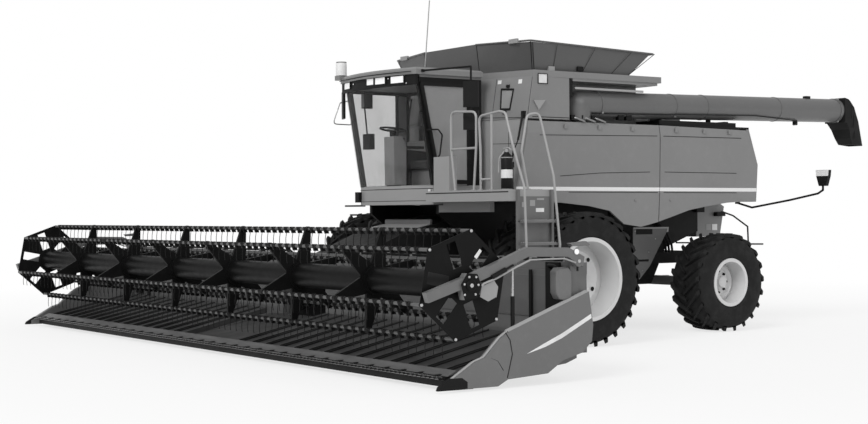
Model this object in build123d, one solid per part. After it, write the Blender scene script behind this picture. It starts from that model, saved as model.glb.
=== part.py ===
"""Combine harvester with a wide draper header, as separate solids, one STEP file per node.

Millimetres. +Z is up, the machine drives towards -Y, its left side is +X.
Everything is drawn with Y = 0 at the front axle and moved back by Y_MID on export,
so that the origin is on the ground under the middle of the machine's bounding box.
"""
from build123d import *
import math
import os

# ---------------------------------------------------------------- driving dimensions
Y_MID = 1191                  # middle of the whole length, measured from the front axle
PIN_GAP = 0.05                # radial clearance of a pin in its bore

# wheels: radius to the lug tops, rim flange radius, lug count
FRONT_R, FRONT_RIM_R, FRONT_LUGS = 910, 545, 29
REAR_R, REAR_RIM_R, REAR_LUGS = 742, 345, 21
LUG_H = 42                    # height of a lug above the carcass
FRONT_TYRE_W, REAR_TYRE_W = 467, 600
FRONT_TREAD, REAR_TREAD = 0.95, 0.88         # lugged share of the tyre's width
OUTER_DUAL_X, INNER_DUAL_X = 2493, 1667      # tyre centres of the dual front wheels
REAR_WHEEL_X, WHEELBASE = 1732, 3475
KINGPIN_X = 1180

# body
RAIL_X0, RAIL_X1, RAIL_Z0, RAIL_Z1 = 800, 900, 1010, 1180
SEPARATOR_X = 790
SHIELD_X, SHIELD_T = 1600, 45                # outer face and thickness of the side shields
SHIELD_SPLIT_Y, SHIELD_TOP = 2420, 3100
TANK_TOP, TANK_FLOOR, TANK_T = 3815, 3130, 40
TANK_RIM = 90                 # depth of the tank's top frame
EXTENSION_FRONT_Z, EXTENSION_SIDE_Z, EXTENSION_REAR_Z = 4245, 4200, 4150
AUGER_X, AUGER_Y, AUGER_Z, AUGER_R = 1390, 960, 3370, 192
AUGER_END = (1300, 6800, 3476)

# towing hitch: height and place of the pin's hole, its radius and the tongue's thickness
HITCH_Z, HITCH_Y, HITCH_R, HITCH_T = 1080, 4240, 16.5, 35

# cab
CAB_X, CAB_FRONT, CAB_REAR = 905, -1280, -420
CAB_BASE, CAB_FLOOR, CAB_EAVES, CAB_TOP = 1930, 2200, 3640, 3855
VISOR_Z0, VISOR_Z1 = 3735, 3830              # visor's lower and upper faces
VISOR_X, VISOR_SIDE_Y, VISOR_MID_Y = 950, -1600, -1780
BAR_Z0 = 3590                 # underside of the light bar
DOOR_T = 40

# platform beside the cab
DECK_Z, DECK_FRONT, DECK_OUT_X = 2110, -1450, 2745

# header
HEADER_X = 5565               # inner face of the end shields
SHIELD_END_T = 80
BACK_Y = -2850                # front face of the header's back wall
DECK_POINTS = ((-4500, 150), (-3000, 480))   # draper deck, front and rear edge (Y, Z)
BELT_T = 70
REEL_Y, REEL_Z, REEL_R = -4354, 1076, 560
REEL_PHASE = 19.3             # angle of the first bat, degrees from +Y towards +Z
REEL_END_X = 5532
BAT_R, TINE_LEN, TINE_PITCH = 20, 205, 150
ARM_X0, ARM_X1 = 5570, 5640
ARM_PIVOT = (-2880, 1290)     # (Y, Z)
FEEDER_PIVOT = (-400, 1700)   # (Y, Z)
RAIL_R = 17

parts = {}


# ---------------------------------------------------------------- helpers
def block(x, y, z):
    """Box from three (low, high) spans."""
    size = [hi - lo for lo, hi in (x, y, z)]
    mid = [(hi + lo) / 2 for lo, hi in (x, y, z)]
    return Pos(*mid) * Box(*size)


def side_prism(points_yz, x0, x1):
    """Outline in the Y-Z plane pushed from x0 to x1."""
    face = make_face(Polyline([(x0, y, z) for y, z in points_yz], close=True))
    return extrude(face, x1 - x0, dir=(1, 0, 0))


def front_prism(points_xz, y0, y1):
    """Outline in the X-Z plane pushed from y0 to y1."""
    face = make_face(Polyline([(x, y0, z) for x, z in points_xz], close=True))
    return extrude(face, y1 - y0, dir=(0, 1, 0))


def plan_prism(points_xy, z0, z1):
    """Outline in the X-Y plane pushed from z0 to z1."""
    face = make_face(Polyline([(x, y, z0) for x, y in points_xy], close=True))
    return extrude(face, z1 - z0, dir=(0, 0, 1))


def rod(start, end, radius):
    """Round bar between two points."""
    a, b = Vector(*start), Vector(*end)
    return Solid.make_cylinder(radius, (b - a).length, Plane(origin=a, z_dir=b - a))


def bent_rod(points, radius):
    """Round bar through several points, with a ball at each bend."""
    legs = [rod(a, b, radius) for a, b in zip(points, points[1:])]
    balls = [Pos(*p) * Sphere(radius) for p in points[1:-1]]
    return Part() + legs + balls


def disc_x(radius, x0, x1, y, z):
    """Cylinder along X."""
    return rod((x0, y, z), (x1, y, z), radius)


def revolve_x(points_xr, y, z):
    """Outline of (x, radius) points turned about an axis along X."""
    face = make_face(Polyline([(x, 0, r) for x, r in points_xr], close=True))
    return Pos(0, y, z) * revolve(face, Axis.X)


def mirrored(shape):
    """The same piece on the machine's other side."""
    return mirror(shape, about=Plane.YZ)


def group(*shapes):
    """Several separate solids kept in one node."""
    return Compound([solid for shape in shapes for solid in shape.solids()])


def pair(shape):
    """A piece and its mirror image, not touching, in one node."""
    return group(shape, mirrored(shape))


# ---------------------------------------------------------------- tyres and wheels
def lugged_tyre(radius, rim_r, width, lugs, tread, x_mid):
    """Faceted tyre with chevron lugs: every face is a flat triangle.

    Each ring is a list of points round the axis. The shoulders step between the
    carcass and the lug tops, turned half a lug pitch against each other.
    """
    half, pitch, fall = width / 2, 2 * math.pi / lugs, radius - LUG_H
    centre_z = radius * math.cos(pitch / 8)

    def ring(x, radii, turn, steps):
        return [
            (x_mid + x, r * math.sin(a), centre_z - r * math.cos(a))
            for a, r in (
                ((k + s) * pitch + turn, radii[j])
                for k in range(lugs)
                for j, s in enumerate(steps)
            )
        ]

    quarter, halves, whole = (0, 0.25, 0.5, 0.75), (0, 0.5), (0,)
    lug = (fall, radius, radius, fall)
    turn = -pitch * 3 / 8
    mid_r = (radius + rim_r) / 2
    rings = {
        "centre": ring(0, (radius - 8,) * 4, turn, quarter),
        "left": ring(half * tread, lug, turn, quarter),
        "right": ring(-half * tread, lug, turn + pitch / 2, quarter),
        "left bulge": ring(half, (mid_r,) * 2, turn, halves),
        "right bulge": ring(-half, (mid_r,) * 2, turn + pitch / 2, halves),
        "left bead": ring(half * 0.82, (rim_r - 8,), turn, whole),
        "right bead": ring(-half * 0.82, (rim_r - 8,), turn + pitch / 2, whole),
    }
    faces = []

    def strip(a, b):
        """Triangles between two rings with equal counts."""
        n = len(a)
        for i in range(n):
            j = (i + 1) % n
            faces.append((a[i], a[j], b[j]))
            faces.append((a[i], b[j], b[i]))

    def narrowing(a, b):
        """Triangles from a ring to one with half as many points."""
        n = len(b)
        for i in range(n):
            i0, i1, i2, j = 2 * i, 2 * i + 1, (2 * i + 2) % len(a), (i + 1) % n
            faces.append((a[i0], a[i1], b[i]))
            faces.append((a[i1], b[j], b[i]))
            faces.append((a[i1], a[i2], b[j]))

    strip(rings["centre"], rings["left"])
    strip(rings["right"], rings["centre"])
    narrowing(rings["left"], rings["left bulge"])
    narrowing(rings["right"], rings["right bulge"])
    narrowing(rings["left bulge"], rings["left bead"])
    narrowing(rings["right bulge"], rings["right bead"])
    right_bead = rings["right bead"]
    strip(rings["left bead"], right_bead[-1:] + right_bead[:-1])
    shell = Shell([Face(Wire.make_polygon(f, close=True)) for f in faces])
    return Solid(shell)


def wheel_centre(radius, lugs):
    """Height of the axle with the tyre standing on a lug."""
    return radius * math.cos(math.pi / (4 * lugs))


FRONT_Z = wheel_centre(FRONT_R, FRONT_LUGS)
REAR_Z = wheel_centre(REAR_R, REAR_LUGS)


def rim(rim_r, width, x_mid, disc_x_mid, hub_r):
    """Rim barrel with flanges, a dished disc at disc_x_mid and an open hub hole."""
    half, bore = width * 0.41, rim_r - 12
    barrel = [
        (x_mid - half - 26, bore - 22), (x_mid - half - 26, rim_r + 18),
        (x_mid - half - 10, rim_r + 18), (x_mid - half - 10, bore),
        (x_mid + half + 10, bore), (x_mid + half + 10, rim_r + 18),
        (x_mid + half + 26, rim_r + 18), (x_mid + half + 26, bore - 22),
    ]
    disc = [
        (disc_x_mid - 10, bore - 10), (disc_x_mid + 10, bore - 10),
        (disc_x_mid + 70, bore * 0.72), (disc_x_mid + 20, hub_r + 90),
        (disc_x_mid + 20, hub_r - 5), (disc_x_mid, hub_r - 5),
        (disc_x_mid, hub_r + 90), (disc_x_mid + 50, bore * 0.72),
    ]
    return barrel, disc


def front_wheels():
    """Left pair of dual wheels: two tyres, and two rims on one hub tube."""
    tyres = [
        lugged_tyre(FRONT_R, FRONT_RIM_R, FRONT_TYRE_W, FRONT_LUGS, FRONT_TREAD, x)
        for x in (INNER_DUAL_X, OUTER_DUAL_X)
    ]
    hub_r = 150
    rims = Part()
    for x_mid, disc_x_mid in ((INNER_DUAL_X, 1560), (OUTER_DUAL_X, 2330)):
        barrel, disc = rim(FRONT_RIM_R, FRONT_TYRE_W, x_mid, disc_x_mid, hub_r)
        rims += revolve_x(barrel, 0, FRONT_Z) + revolve_x(disc, 0, FRONT_Z)
    hub = disc_x(hub_r, 1386, 2400, 0, FRONT_Z) + disc_x(90, 2395, 2440, 0, FRONT_Z)
    rims += hub
    rims -= disc_x(60 + PIN_GAP, 1380, 1505, 0, FRONT_Z)
    return tyres, rims


def rear_wheel():
    """Left rear wheel: tyre, and rim with its hub."""
    tyre = lugged_tyre(REAR_R, REAR_RIM_R, REAR_TYRE_W, REAR_LUGS, REAR_TREAD, REAR_WHEEL_X)
    barrel, disc = rim(REAR_RIM_R, REAR_TYRE_W, REAR_WHEEL_X, 1720, 110)
    wheel = revolve_x(barrel, 0, REAR_Z) + revolve_x(disc, 0, REAR_Z)
    wheel += disc_x(110, 1330, 1770, 0, REAR_Z)
    wheel -= disc_x(45 + PIN_GAP, 1320, 1445, 0, REAR_Z)
    move = Pos(0, WHEELBASE, 0)
    return move * tyre, move * wheel


def knuckle():
    """Left rear knuckle: two ears round the beam's end, a back plate and the spindle."""
    y = (WHEELBASE - 70, WHEELBASE + 70)
    body = block((KINGPIN_X - 70, KINGPIN_X + 120), y, (REAR_Z + 136, REAR_Z + 180))
    body += block((KINGPIN_X - 70, KINGPIN_X + 120), y, (REAR_Z - 180, REAR_Z - 136))
    body += block((KINGPIN_X + 85, KINGPIN_X + 120), y, (REAR_Z - 180, REAR_Z + 180))
    body += disc_x(45, KINGPIN_X + 110, 1440, WHEELBASE, REAR_Z)
    body += block((KINGPIN_X - 30, KINGPIN_X + 30), (WHEELBASE + 60, WHEELBASE + 260),
                  (REAR_Z - 180, REAR_Z - 150))
    pin = rod((KINGPIN_X, WHEELBASE, 0), (KINGPIN_X, WHEELBASE, 2000), 30 + PIN_GAP)
    return body - pin


tyres, rims = front_wheels()
parts["front_tyres_left"] = group(*tyres)
parts["front_tyres_right"] = mirrored(parts["front_tyres_left"])
parts["front_rims_left"] = rims
parts["front_rims_right"] = mirrored(rims)
rear_tyre, rear_rim = rear_wheel()
parts["rear_tyre_left"] = rear_tyre
parts["rear_tyre_right"] = mirrored(rear_tyre)
parts["rear_rim_left"] = rear_rim
parts["rear_rim_right"] = mirrored(rear_rim)
parts["knuckle_left"] = knuckle()
parts["knuckle_right"] = mirrored(parts["knuckle_left"])


# ---------------------------------------------------------------- frame and axles
def main_frame():
    """Two long rails, cross members, cab towers and the towing tongue, all welded."""
    rail = block((RAIL_X0, RAIL_X1), (-300, 4150), (RAIL_Z0, RAIL_Z1))
    tower = side_prism([(-300, RAIL_Z1), (-1150, 1800), (-1150, CAB_BASE), (60, CAB_BASE),
                        (60, 1240), (260, RAIL_Z1)], 800, 860)
    half = rail + tower
    frame = half + mirrored(half)
    frame += block((-RAIL_X0, RAIL_X0), (WHEELBASE - 90, WHEELBASE + 90), (RAIL_Z0, RAIL_Z1))
    frame += block((-160, 160), (WHEELBASE - 110, WHEELBASE + 110), (800, RAIL_Z0))
    frame += block((-RAIL_X0, RAIL_X0), (500, 620), (RAIL_Z0 - 80, RAIL_Z0 + 60))
    frame += block((-RAIL_X0, RAIL_X0), (4070, 4150), (RAIL_Z0, RAIL_Z1))
    frame += block((-60, 60), (4150, HITCH_Y + 60), (HITCH_Z - HITCH_T / 2, HITCH_Z + HITCH_T / 2))
    frame -= rod((0, HITCH_Y, HITCH_Z - 50), (0, HITCH_Y, HITCH_Z + 50), HITCH_R)
    return frame


def front_axle():
    """Axle beam between the final drives, with their output shafts and ram brackets."""
    beam = block((-1100, 1100), (-130, 130), (760, RAIL_Z0))
    for side in (1, -1):
        beam += disc_x(220, side * 1080, side * 1380, 0, FRONT_Z)
        beam += disc_x(60, side * 1370, side * 1500, 0, FRONT_Z)
        for x in (370, 530):
            beam += block((side * x - 12, side * x + 12), (-160, -40), (560, 765))
        beam += disc_x(24, side * 450 - 90, side * 450 + 90, -100, 620)
    return beam


def rear_axle():
    """Steering axle beam with a boss and a king pin at each end, and its steering ram."""
    beam = block((-1120, 1120), (WHEELBASE - 85, WHEELBASE + 85), (REAR_Z - 80, 800))
    for side in (1, -1):
        beam += rod((side * KINGPIN_X, WHEELBASE, REAR_Z - 130),
                    (side * KINGPIN_X, WHEELBASE, REAR_Z + 130), 70)
        beam += rod((side * KINGPIN_X, WHEELBASE, REAR_Z - 200),
                    (side * KINGPIN_X, WHEELBASE, REAR_Z + 200), 30)
    beam += disc_x(40, -560, 560, WHEELBASE + 130, REAR_Z)
    beam += block((-560, -500), (WHEELBASE + 80, WHEELBASE + 175), (REAR_Z - 60, REAR_Z + 60))
    beam += block((500, 560), (WHEELBASE + 80, WHEELBASE + 175), (REAR_Z - 60, REAR_Z + 60))
    return beam


parts["main_frame"] = main_frame()
parts["front_axle"] = front_axle()
parts["rear_axle"] = rear_axle()


# ---------------------------------------------------------------- body
def separator_body():
    """Closed threshing and cleaning housing between the rails."""
    side = [(-280, RAIL_Z1 + 5), (-280, 2280), (4050, 2280), (4050, 1500), (3330, 1250),
            (3020, 690), (800, 690), (640, RAIL_Z1 + 5)]
    return side_prism(side, -SEPARATOR_X, SEPARATOR_X)


AUGER_BAY_X, AUGER_BAY_Y = 1130, 640         # corner of the recess for the stowed auger
TANK_PLAN = [(-700, -280), (700, -280), (1580, -20), (1580, AUGER_BAY_Y),
             (AUGER_BAY_X, AUGER_BAY_Y), (AUGER_BAY_X, 2380), (-1580, 2380), (-1580, -20)]
FRONT_LEAN = 100              # how far the tank's front walls lean out at their foot


def inset(points, t):
    """The tank's plan moved inwards by its wall thickness."""
    signs = [(1, 1), (-1, 1), (-1, 1), (-1, -1), (-1, -1), (-1, -1), (1, -1), (1, 1)]
    return [(x + sx * t, y + sy * t) for (x, y), (sx, sy) in zip(points, signs)]


def frustum(bottom, top):
    """Solid between two rectangles ((x0, x1), (y0, y1), z)."""
    faces = []
    for (x0, x1), (y0, y1), z in (bottom, top):
        faces.append(make_face(Polyline([(x0, y0, z), (x1, y0, z), (x1, y1, z), (x0, y1, z)],
                                        close=True)))
    return loft(faces, ruled=True)


# extension's plan on the tank's rim, and its top corners with their heights
EXT_BASE = [(-620, -230), (620, -230), (1480, 50), (1500, 1870), (-1500, 1870), (-1480, 50)]
EXT_TOP = [(-620, -290), (620, -290), (1620, -100), (1620, 2320), (-1620, 2320), (-1620, -100)]


def shrink(points, t):
    """A six-sided plan moved inwards."""
    signs = [(1, 1), (-1, 1), (-1, 1), (-1, -1), (1, -1), (1, 1)]
    return [(x + sx * t, y + sy * t) for (x, y), (sx, sy) in zip(points, signs)]


def ring_loft(lower, upper, z0, z1):
    """Ruled solid between two plans with equal corner counts."""
    low = make_face(Polyline([(x, y, z0) for x, y in lower], close=True))
    high = make_face(Polyline([(x, y, z1) for x, y in upper], close=True))
    return loft([low, high], ruled=True)


def leaning(points):
    """The tank's plan at its foot, with the front corners further forward."""
    return [(x, y - FRONT_LEAN if y < 0 else y) for x, y in points]


def grain_tank():
    """Open tank: leaning front walls, a hopper that narrows below and an inward rim."""
    rim_z = TANK_TOP - TANK_RIM
    tank = ring_loft(leaning(TANK_PLAN), TANK_PLAN, TANK_FLOOR, rim_z)
    tank += frustum(((-540, 540), (560, 1840), 2280),
                    ((-1400, AUGER_BAY_X), (-20, 2380), TANK_FLOOR))
    tank -= ring_loft(leaning(inset(TANK_PLAN, TANK_T)), inset(TANK_PLAN, TANK_T),
                      TANK_FLOOR + 30, rim_z)
    tank -= frustum(((-500, 500), (600, 1800), 2320),
                    ((-1360, AUGER_BAY_X - 40), (20, 2340), TANK_FLOOR + 30))
    rim = plan_prism([(-700, -280), (700, -280), (1580, -20), (1600, 2440), (-1600, 2440),
                      (-1580, -20)], rim_z, TANK_TOP)
    tank += rim - plan_prism(shrink(EXT_BASE, 50), rim_z, TANK_TOP)
    tank += block((AUGER_BAY_X, 1580), (AUGER_BAY_Y, 2380), (rim_z - 40, rim_z))
    return tank


def tank_extension():
    """Flared sheet walls on the tank's rim, highest in front and a little lower at the rear."""
    outer = ring_loft(EXT_BASE, EXT_TOP, TANK_TOP, EXTENSION_FRONT_Z)
    inner = ring_loft(shrink(EXT_BASE, 45), shrink(EXT_TOP, 30), TANK_TOP, EXTENSION_FRONT_Z)
    above = side_prism([(-400, EXTENSION_FRONT_Z), (-290, EXTENSION_FRONT_Z),
                        (-100, EXTENSION_SIDE_Z), (2400, EXTENSION_REAR_Z), (2400, 4300),
                        (-400, 4300)], -1700, 1700)
    return outer - inner - above


def upper_frame():
    """Longitudinal hinge rails under the deck with their posts and cross members.

    The middle posts stand on outriggers from the frame rails.
    """
    half = block((1480, 1540), (-100, 4180), (3040, 3090))
    half += block((RAIL_X1, 1500), (1500, 1570), (1110, RAIL_Z1))
    half += block((1440, 1500), (1500, 1570), (RAIL_Z1 - 10, 3045))
    half += block((1440, 1500), (-100, -40), (2050, 3045))
    half += block((1440, 1500), (2430, 2490), (1650, 3045))
    half += block((1440, 1500), (4120, 4180), (2000, 3045))
    frame = half + mirrored(half)
    frame += block((-1490, 1490), (4120, 4180), (3040, 3090))
    frame += block((-1490, 1490), (2430, 2490), (3040, 3090))
    frame += block((-1490, 1490), (4120, 4180), (2000, 2060))
    return frame


SADDLE_Z = 3200                # top of the saddle, just under the stowed tube


def engine_deck():
    """Deck plate over the engine bay, with a raised duct and the stowed auger's saddle."""
    deck = block((-1540, 1540), (2500, 4400), (3090, 3120))
    deck += block((1000, 1500), (2500, 4150), (3120, 3185))
    deck += block((1110, 1500), (3900, 3980), (3120, SADDLE_Z))
    deck += block((1110, 1140), (3900, 3980), (3120, SADDLE_Z + 75))
    return deck


def rear_hood():
    """Rear end of the body: a leaning back wall with two short returns."""
    back = side_prism([(4340, 3090), (4400, 3090), (4600, 2540), (4560, 1960), (4500, 1960),
                       (4540, 2540)], -1540, 1540)
    back += block((-1540, 1540), (4180, 4560), (1960, 2000))
    return back


CHOPPER_X = 760


def straw_chopper():
    """Closed chopper box under the rear hood."""
    return side_prism([(4055, 1960), (4560, 1960), (4690, 1890), (4590, 1420), (4055, 1410)],
                      -CHOPPER_X, CHOPPER_X)


def side_panel():
    """Sheet cover between the left wheels, on a bracket from the frame rail.

    Its rear edge follows the sweep of the steered wheel.
    """
    sheet = side_prism([(2240, 1580), (3000, 1580), (2580, 980), (2370, 790), (2240, 980)],
                       1185, 1200)
    return sheet + block((RAIL_X1, 1190), (2420, 2500), (1050, 1150))


parts["separator_body"] = separator_body()
parts["grain_tank"] = grain_tank()
parts["tank_extension"] = tank_extension()
parts["upper_frame"] = upper_frame()
parts["engine_deck"] = engine_deck()
parts["rear_hood"] = rear_hood()
parts["engine_block"] = block((-600, 600), (2750, 3750), (2280, 3020))
parts["cooling_box"] = block((-1560, -800), (2560, 3760), (3120, 3640))
parts["straw_chopper"] = straw_chopper()
parts["side_panels"] = pair(side_panel())


def shield_outline(points):
    """Side shield sheet: an outline in Y-Z with its top edge rolled inwards."""
    plate = side_prism(points, SHIELD_X - SHIELD_T, SHIELD_X)
    section = [(SHIELD_X - SHIELD_T, 1500), (SHIELD_X - 20, 1500), (SHIELD_X, 2100),
               (SHIELD_X, 2930), (SHIELD_X - 30, SHIELD_TOP), (SHIELD_X - SHIELD_T, SHIELD_TOP)]
    return plate & front_prism(section, -600, 5000)


FRONT_SHIELD = [(-120, SHIELD_TOP), (SHIELD_SPLIT_Y - 8, SHIELD_TOP),
                (SHIELD_SPLIT_Y - 40, 1660), (2030, 1590), (1690, 1634), (1400, 1830),
                (1000, 1900), (450, 1950), (-330, 1950), (-330, 2150)]
REAR_SHIELD = [(SHIELD_SPLIT_Y + 8, SHIELD_TOP), (4300, SHIELD_TOP - 30), (4520, 2560),
               (4490, 1975), (4200, 1960), (3850, 1945), (3400, 1890), (3030, 1835),
               (SHIELD_SPLIT_Y - 24, 1665)]
for name, outline in (("front", FRONT_SHIELD), ("rear", REAR_SHIELD)):
    shield = shield_outline(outline)
    parts[f"side_shield_{name}_left"] = shield
    parts[f"side_shield_{name}_right"] = mirrored(shield)


# ---------------------------------------------------------------- unloading auger
def unloading_auger():
    """Turning collar, elbow ball and long tube, open at its far end."""
    root = (AUGER_X, AUGER_Y, AUGER_Z)
    tube = rod((AUGER_X, AUGER_Y, 3142), root, AUGER_R)
    tube += Pos(*root) * Sphere(AUGER_R)
    tube += rod(root, AUGER_END, AUGER_R)
    end, start = Vector(*AUGER_END), Vector(*root)
    mouth = end + (start - end).normalized() * 500
    tube -= rod(tuple(mouth), AUGER_END, AUGER_R - 12)
    tube -= rod((AUGER_X, AUGER_Y, 3100), (AUGER_X, AUGER_Y, 3215), 40 + PIN_GAP)
    return tube


BOOT_HALF, BOOT_FOOT, BOOT_T = 206, 130, 14    # half width at the tube and at the foot, wall


def auger_spout():
    """Rubber boot round the tube's end, a hollow duct that narrows as it bends down and back."""
    x, y, z = AUGER_END
    crown = [(y - 40, 3680), (6845, 3660), (6890, 3630), (6990, 3530), (7065, 3360), (7285, 2895)]
    throat = [(7020, 2918), (6955, 3020), (6895, 3165), (6810, 3270), (y - 40, 3270)]
    duct = [(y, 3656), (6883, 3616), (6977, 3521), (7050, 3354), (7288, 2850), (7080, 2850),
            (6967, 3028), (6909, 3172), (y, 3298)]

    def tapered(outline, wall):
        half, foot = BOOT_HALF - wall, BOOT_FOOT - wall
        front = [(x - half, 3700), (x + half, 3700), (x + half, 3300), (x + foot, 2850),
                 (x - foot, 2850), (x - half, 3300)]
        return side_prism(outline, x - half, x + half) & front_prism(front, 6700, 7400)

    boot = tapered(crown + throat, 0) - tapered(duct, BOOT_T)
    return boot - rod((AUGER_X, AUGER_Y, AUGER_Z), AUGER_END, AUGER_R)


def auger_base():
    """Fixed lower leg of the vertical auger and its centre pin."""
    leg = rod((AUGER_X, AUGER_Y, 2500), (AUGER_X, AUGER_Y, 3134), 80)
    leg += rod((AUGER_X, AUGER_Y, 3130), (AUGER_X, AUGER_Y, 3210), 40)
    leg += block((1000, AUGER_X), (AUGER_Y - 60, AUGER_Y + 60), (2500, 2620))
    return leg


parts["auger_tube"] = unloading_auger()
parts["auger_spout"] = auger_spout()
parts["auger_base"] = auger_base()


# ---------------------------------------------------------------- cab
def bowed_plan(half_width, y_side, y_mid, y_back, z):
    """Flat face with a bowed front edge."""
    front = ThreePointArc((-half_width, y_side, z), (0, y_mid, z), (half_width, y_side, z))
    rest = Polyline((half_width, y_side, z), (half_width, y_back, z), (-half_width, y_back, z),
                    (-half_width, y_side, z))
    return make_face([front, rest])


def cab_floor():
    """Cab base with a bowed front that carries the windscreen, and the seat's pedestal."""
    plan = bowed_plan(CAB_X, CAB_FRONT, CAB_FRONT - 138, CAB_REAR, CAB_BASE)
    floor = extrude(plan, CAB_FLOOR - CAB_BASE, dir=(0, 0, 1))
    floor += block((-230, 230), (-830, -520), (CAB_FLOOR, CAB_FLOOR + 260))
    return floor


def cab_frame():
    """Front pillars that lean out, rear pillars, roof ring and the lower back wall."""
    front = side_prism([(CAB_FRONT, CAB_FLOOR), (CAB_FRONT + 70, CAB_FLOOR),
                        (-1460, CAB_EAVES), (-1530, CAB_EAVES)], CAB_X - 60, CAB_X)
    rear = block((CAB_X - 60, CAB_X), (-640, CAB_REAR), (CAB_FLOOR, CAB_EAVES))
    eaves = block((CAB_X - 60, CAB_X), (-1510, CAB_REAR), (CAB_EAVES - 50, CAB_EAVES + 60))
    half = front + rear + eaves
    frame = half + mirrored(half)
    frame += block((-CAB_X, CAB_X), (-1520, -1460), (CAB_EAVES - 10, CAB_EAVES + 60))
    frame += block((-CAB_X, CAB_X), (CAB_REAR - 40, CAB_REAR), (CAB_EAVES - 50, CAB_EAVES + 60))
    frame += block((-CAB_X, CAB_X), (CAB_REAR - 40, CAB_REAR), (CAB_FLOOR, 2900))
    return frame


def bow(half_width, y_side, y_mid, z, inset_by):
    """Closed band between two arcs across the cab's front, as a face."""
    w = half_width - inset_by
    outer = ThreePointArc((-half_width, y_side, z), (0, y_mid, z), (half_width, y_side, z))
    inner = ThreePointArc((-w, y_side + 12, z), (0, y_mid + 12, z), (w, y_side + 12, z))
    ends = [Line(outer @ 0, inner @ 0), Line(outer @ 1, inner @ 1)]
    return make_face([outer, inner] + ends)


def windscreen():
    """Tall bowed pane that leans outwards at the top."""
    low = bow(CAB_X, CAB_FRONT - 14, CAB_FRONT - 140, CAB_FLOOR, 10)
    high = bow(CAB_X, -1546, -1690, CAB_EAVES, 10)
    return loft([low, high], ruled=True)


def cab_windows():
    """Right side pane and rear pane."""
    side = side_prism([(CAB_FRONT + 75, CAB_FLOOR + 5), (-645, CAB_FLOOR + 5),
                       (-645, CAB_EAVES - 55), (-1450, CAB_EAVES - 55)], -890, -880)
    rear = block((-840, 840), (CAB_REAR - 25, CAB_REAR - 15), (2905, CAB_EAVES - 55))
    return group(side, rear)


DOOR_OUTLINE = [(-1205, CAB_FLOOR + 15), (-655, CAB_FLOOR + 15), (-655, CAB_EAVES - 10),
                (-1515, CAB_EAVES - 10)]
DOOR_GLASS = [(-1175, CAB_FLOOR + 75), (-705, CAB_FLOOR + 75), (-705, CAB_EAVES - 60),
              (-1465, CAB_EAVES - 60)]


def cab_door():
    """Door ring with its grab handle; the pane sits in the ring."""
    ring = side_prism(DOOR_OUTLINE, CAB_X + 6, CAB_X + 6 + DOOR_T)
    ring -= side_prism(DOOR_GLASS, CAB_X, CAB_X + 60)
    pane = side_prism(DOOR_GLASS, CAB_X + 20, CAB_X + 28)
    return ring, pane


def cab_roof():
    """Thin bowed visor on a lower tray, with a slightly raised crown."""
    visor = extrude(bowed_plan(VISOR_X, VISOR_SIDE_Y, VISOR_MID_Y, CAB_REAR, VISOR_Z0),
                    VISOR_Z1 - VISOR_Z0, dir=(0, 0, 1))
    visor = chamfer(visor.faces().sort_by(Axis.Z)[-1].edges(), 25)
    tray = block((-900, 900), (-1500, CAB_REAR), (CAB_EAVES + 60, VISOR_Z0))
    crown = block((-780, 780), (-1480, CAB_REAR - 80), (VISOR_Z1, CAB_TOP))
    beacon = block((-1010, -880), (-1665, -1520), (VISOR_Z1 - 40, VISOR_Z1 + 30))
    beacon += rod((-945, -1590, VISOR_Z1 + 30), (-945, -1590, VISOR_Z1 + 235), 78)
    return visor + tray + crown + beacon


def light_bar():
    """Bowed lamp housing under the visor, in front of the roof's tray."""
    outer = ThreePointArc((-930, -1590, BAR_Z0), (0, VISOR_MID_Y + 45, BAR_Z0),
                          (930, -1590, BAR_Z0))
    inner = ThreePointArc((-930, -1550, BAR_Z0), (0, VISOR_MID_Y + 85, BAR_Z0),
                          (930, -1550, BAR_Z0))
    ends = [Line(outer @ 0, inner @ 0), Line(outer @ 1, inner @ 1)]
    return extrude(make_face([outer, inner] + ends), VISOR_Z0 - BAR_Z0, dir=(0, 0, 1))


def seat_cushions():
    """Seat and back pads of the operator's seat."""
    seat = block((-240, 240), (-900, -480), (2460, 2580))
    back = side_prism([(-560, 2600), (-480, 2600), (-480, 3200), (-560, 3200)], -230, 230)
    return group(seat, back)


def steering_column():
    """Leaning column with a steering wheel."""
    low, high = (0, -1290, CAB_FLOOR + 14), (0, -1330, 3010)
    column = rod(low, high, 45) + block((-100, 100), (-1370, -1190), (CAB_FLOOR, 2900))
    wheel = Plane(origin=high, z_dir=(0, 80, 600)) * Pos(0, 0, 10) * Torus(180, 14)
    spokes = rod((-176, -1330, 3020), (176, -1330, 3020), 11)
    return column + wheel + spokes


parts["cab_floor"] = cab_floor()
parts["cab_frame"] = cab_frame()
parts["cab_windows"] = group(windscreen(), cab_windows())
door_ring, door_pane = cab_door()
parts["cab_door_frame"] = door_ring
parts["cab_door_glass"] = door_pane
parts["cab_roof"] = cab_roof()
parts["light_bar"] = light_bar()
parts["seat_cushions"] = seat_cushions()
parts["steering_column"] = steering_column()
parts["antenna"] = (rod((-330, -510, CAB_TOP), (-330, -510, CAB_TOP + 40), 16)
                    + rod((-330, -510, CAB_TOP + 20), (-290, -440, 4984), 8))


def mirror_head(x, y, z0, z1, turn):
    """Mirror in its housing, turned towards the driver."""
    return Pos(x, y, (z0 + z1) / 2) * Rot(0, 0, turn) * Box(220, 35, z1 - z0)


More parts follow.
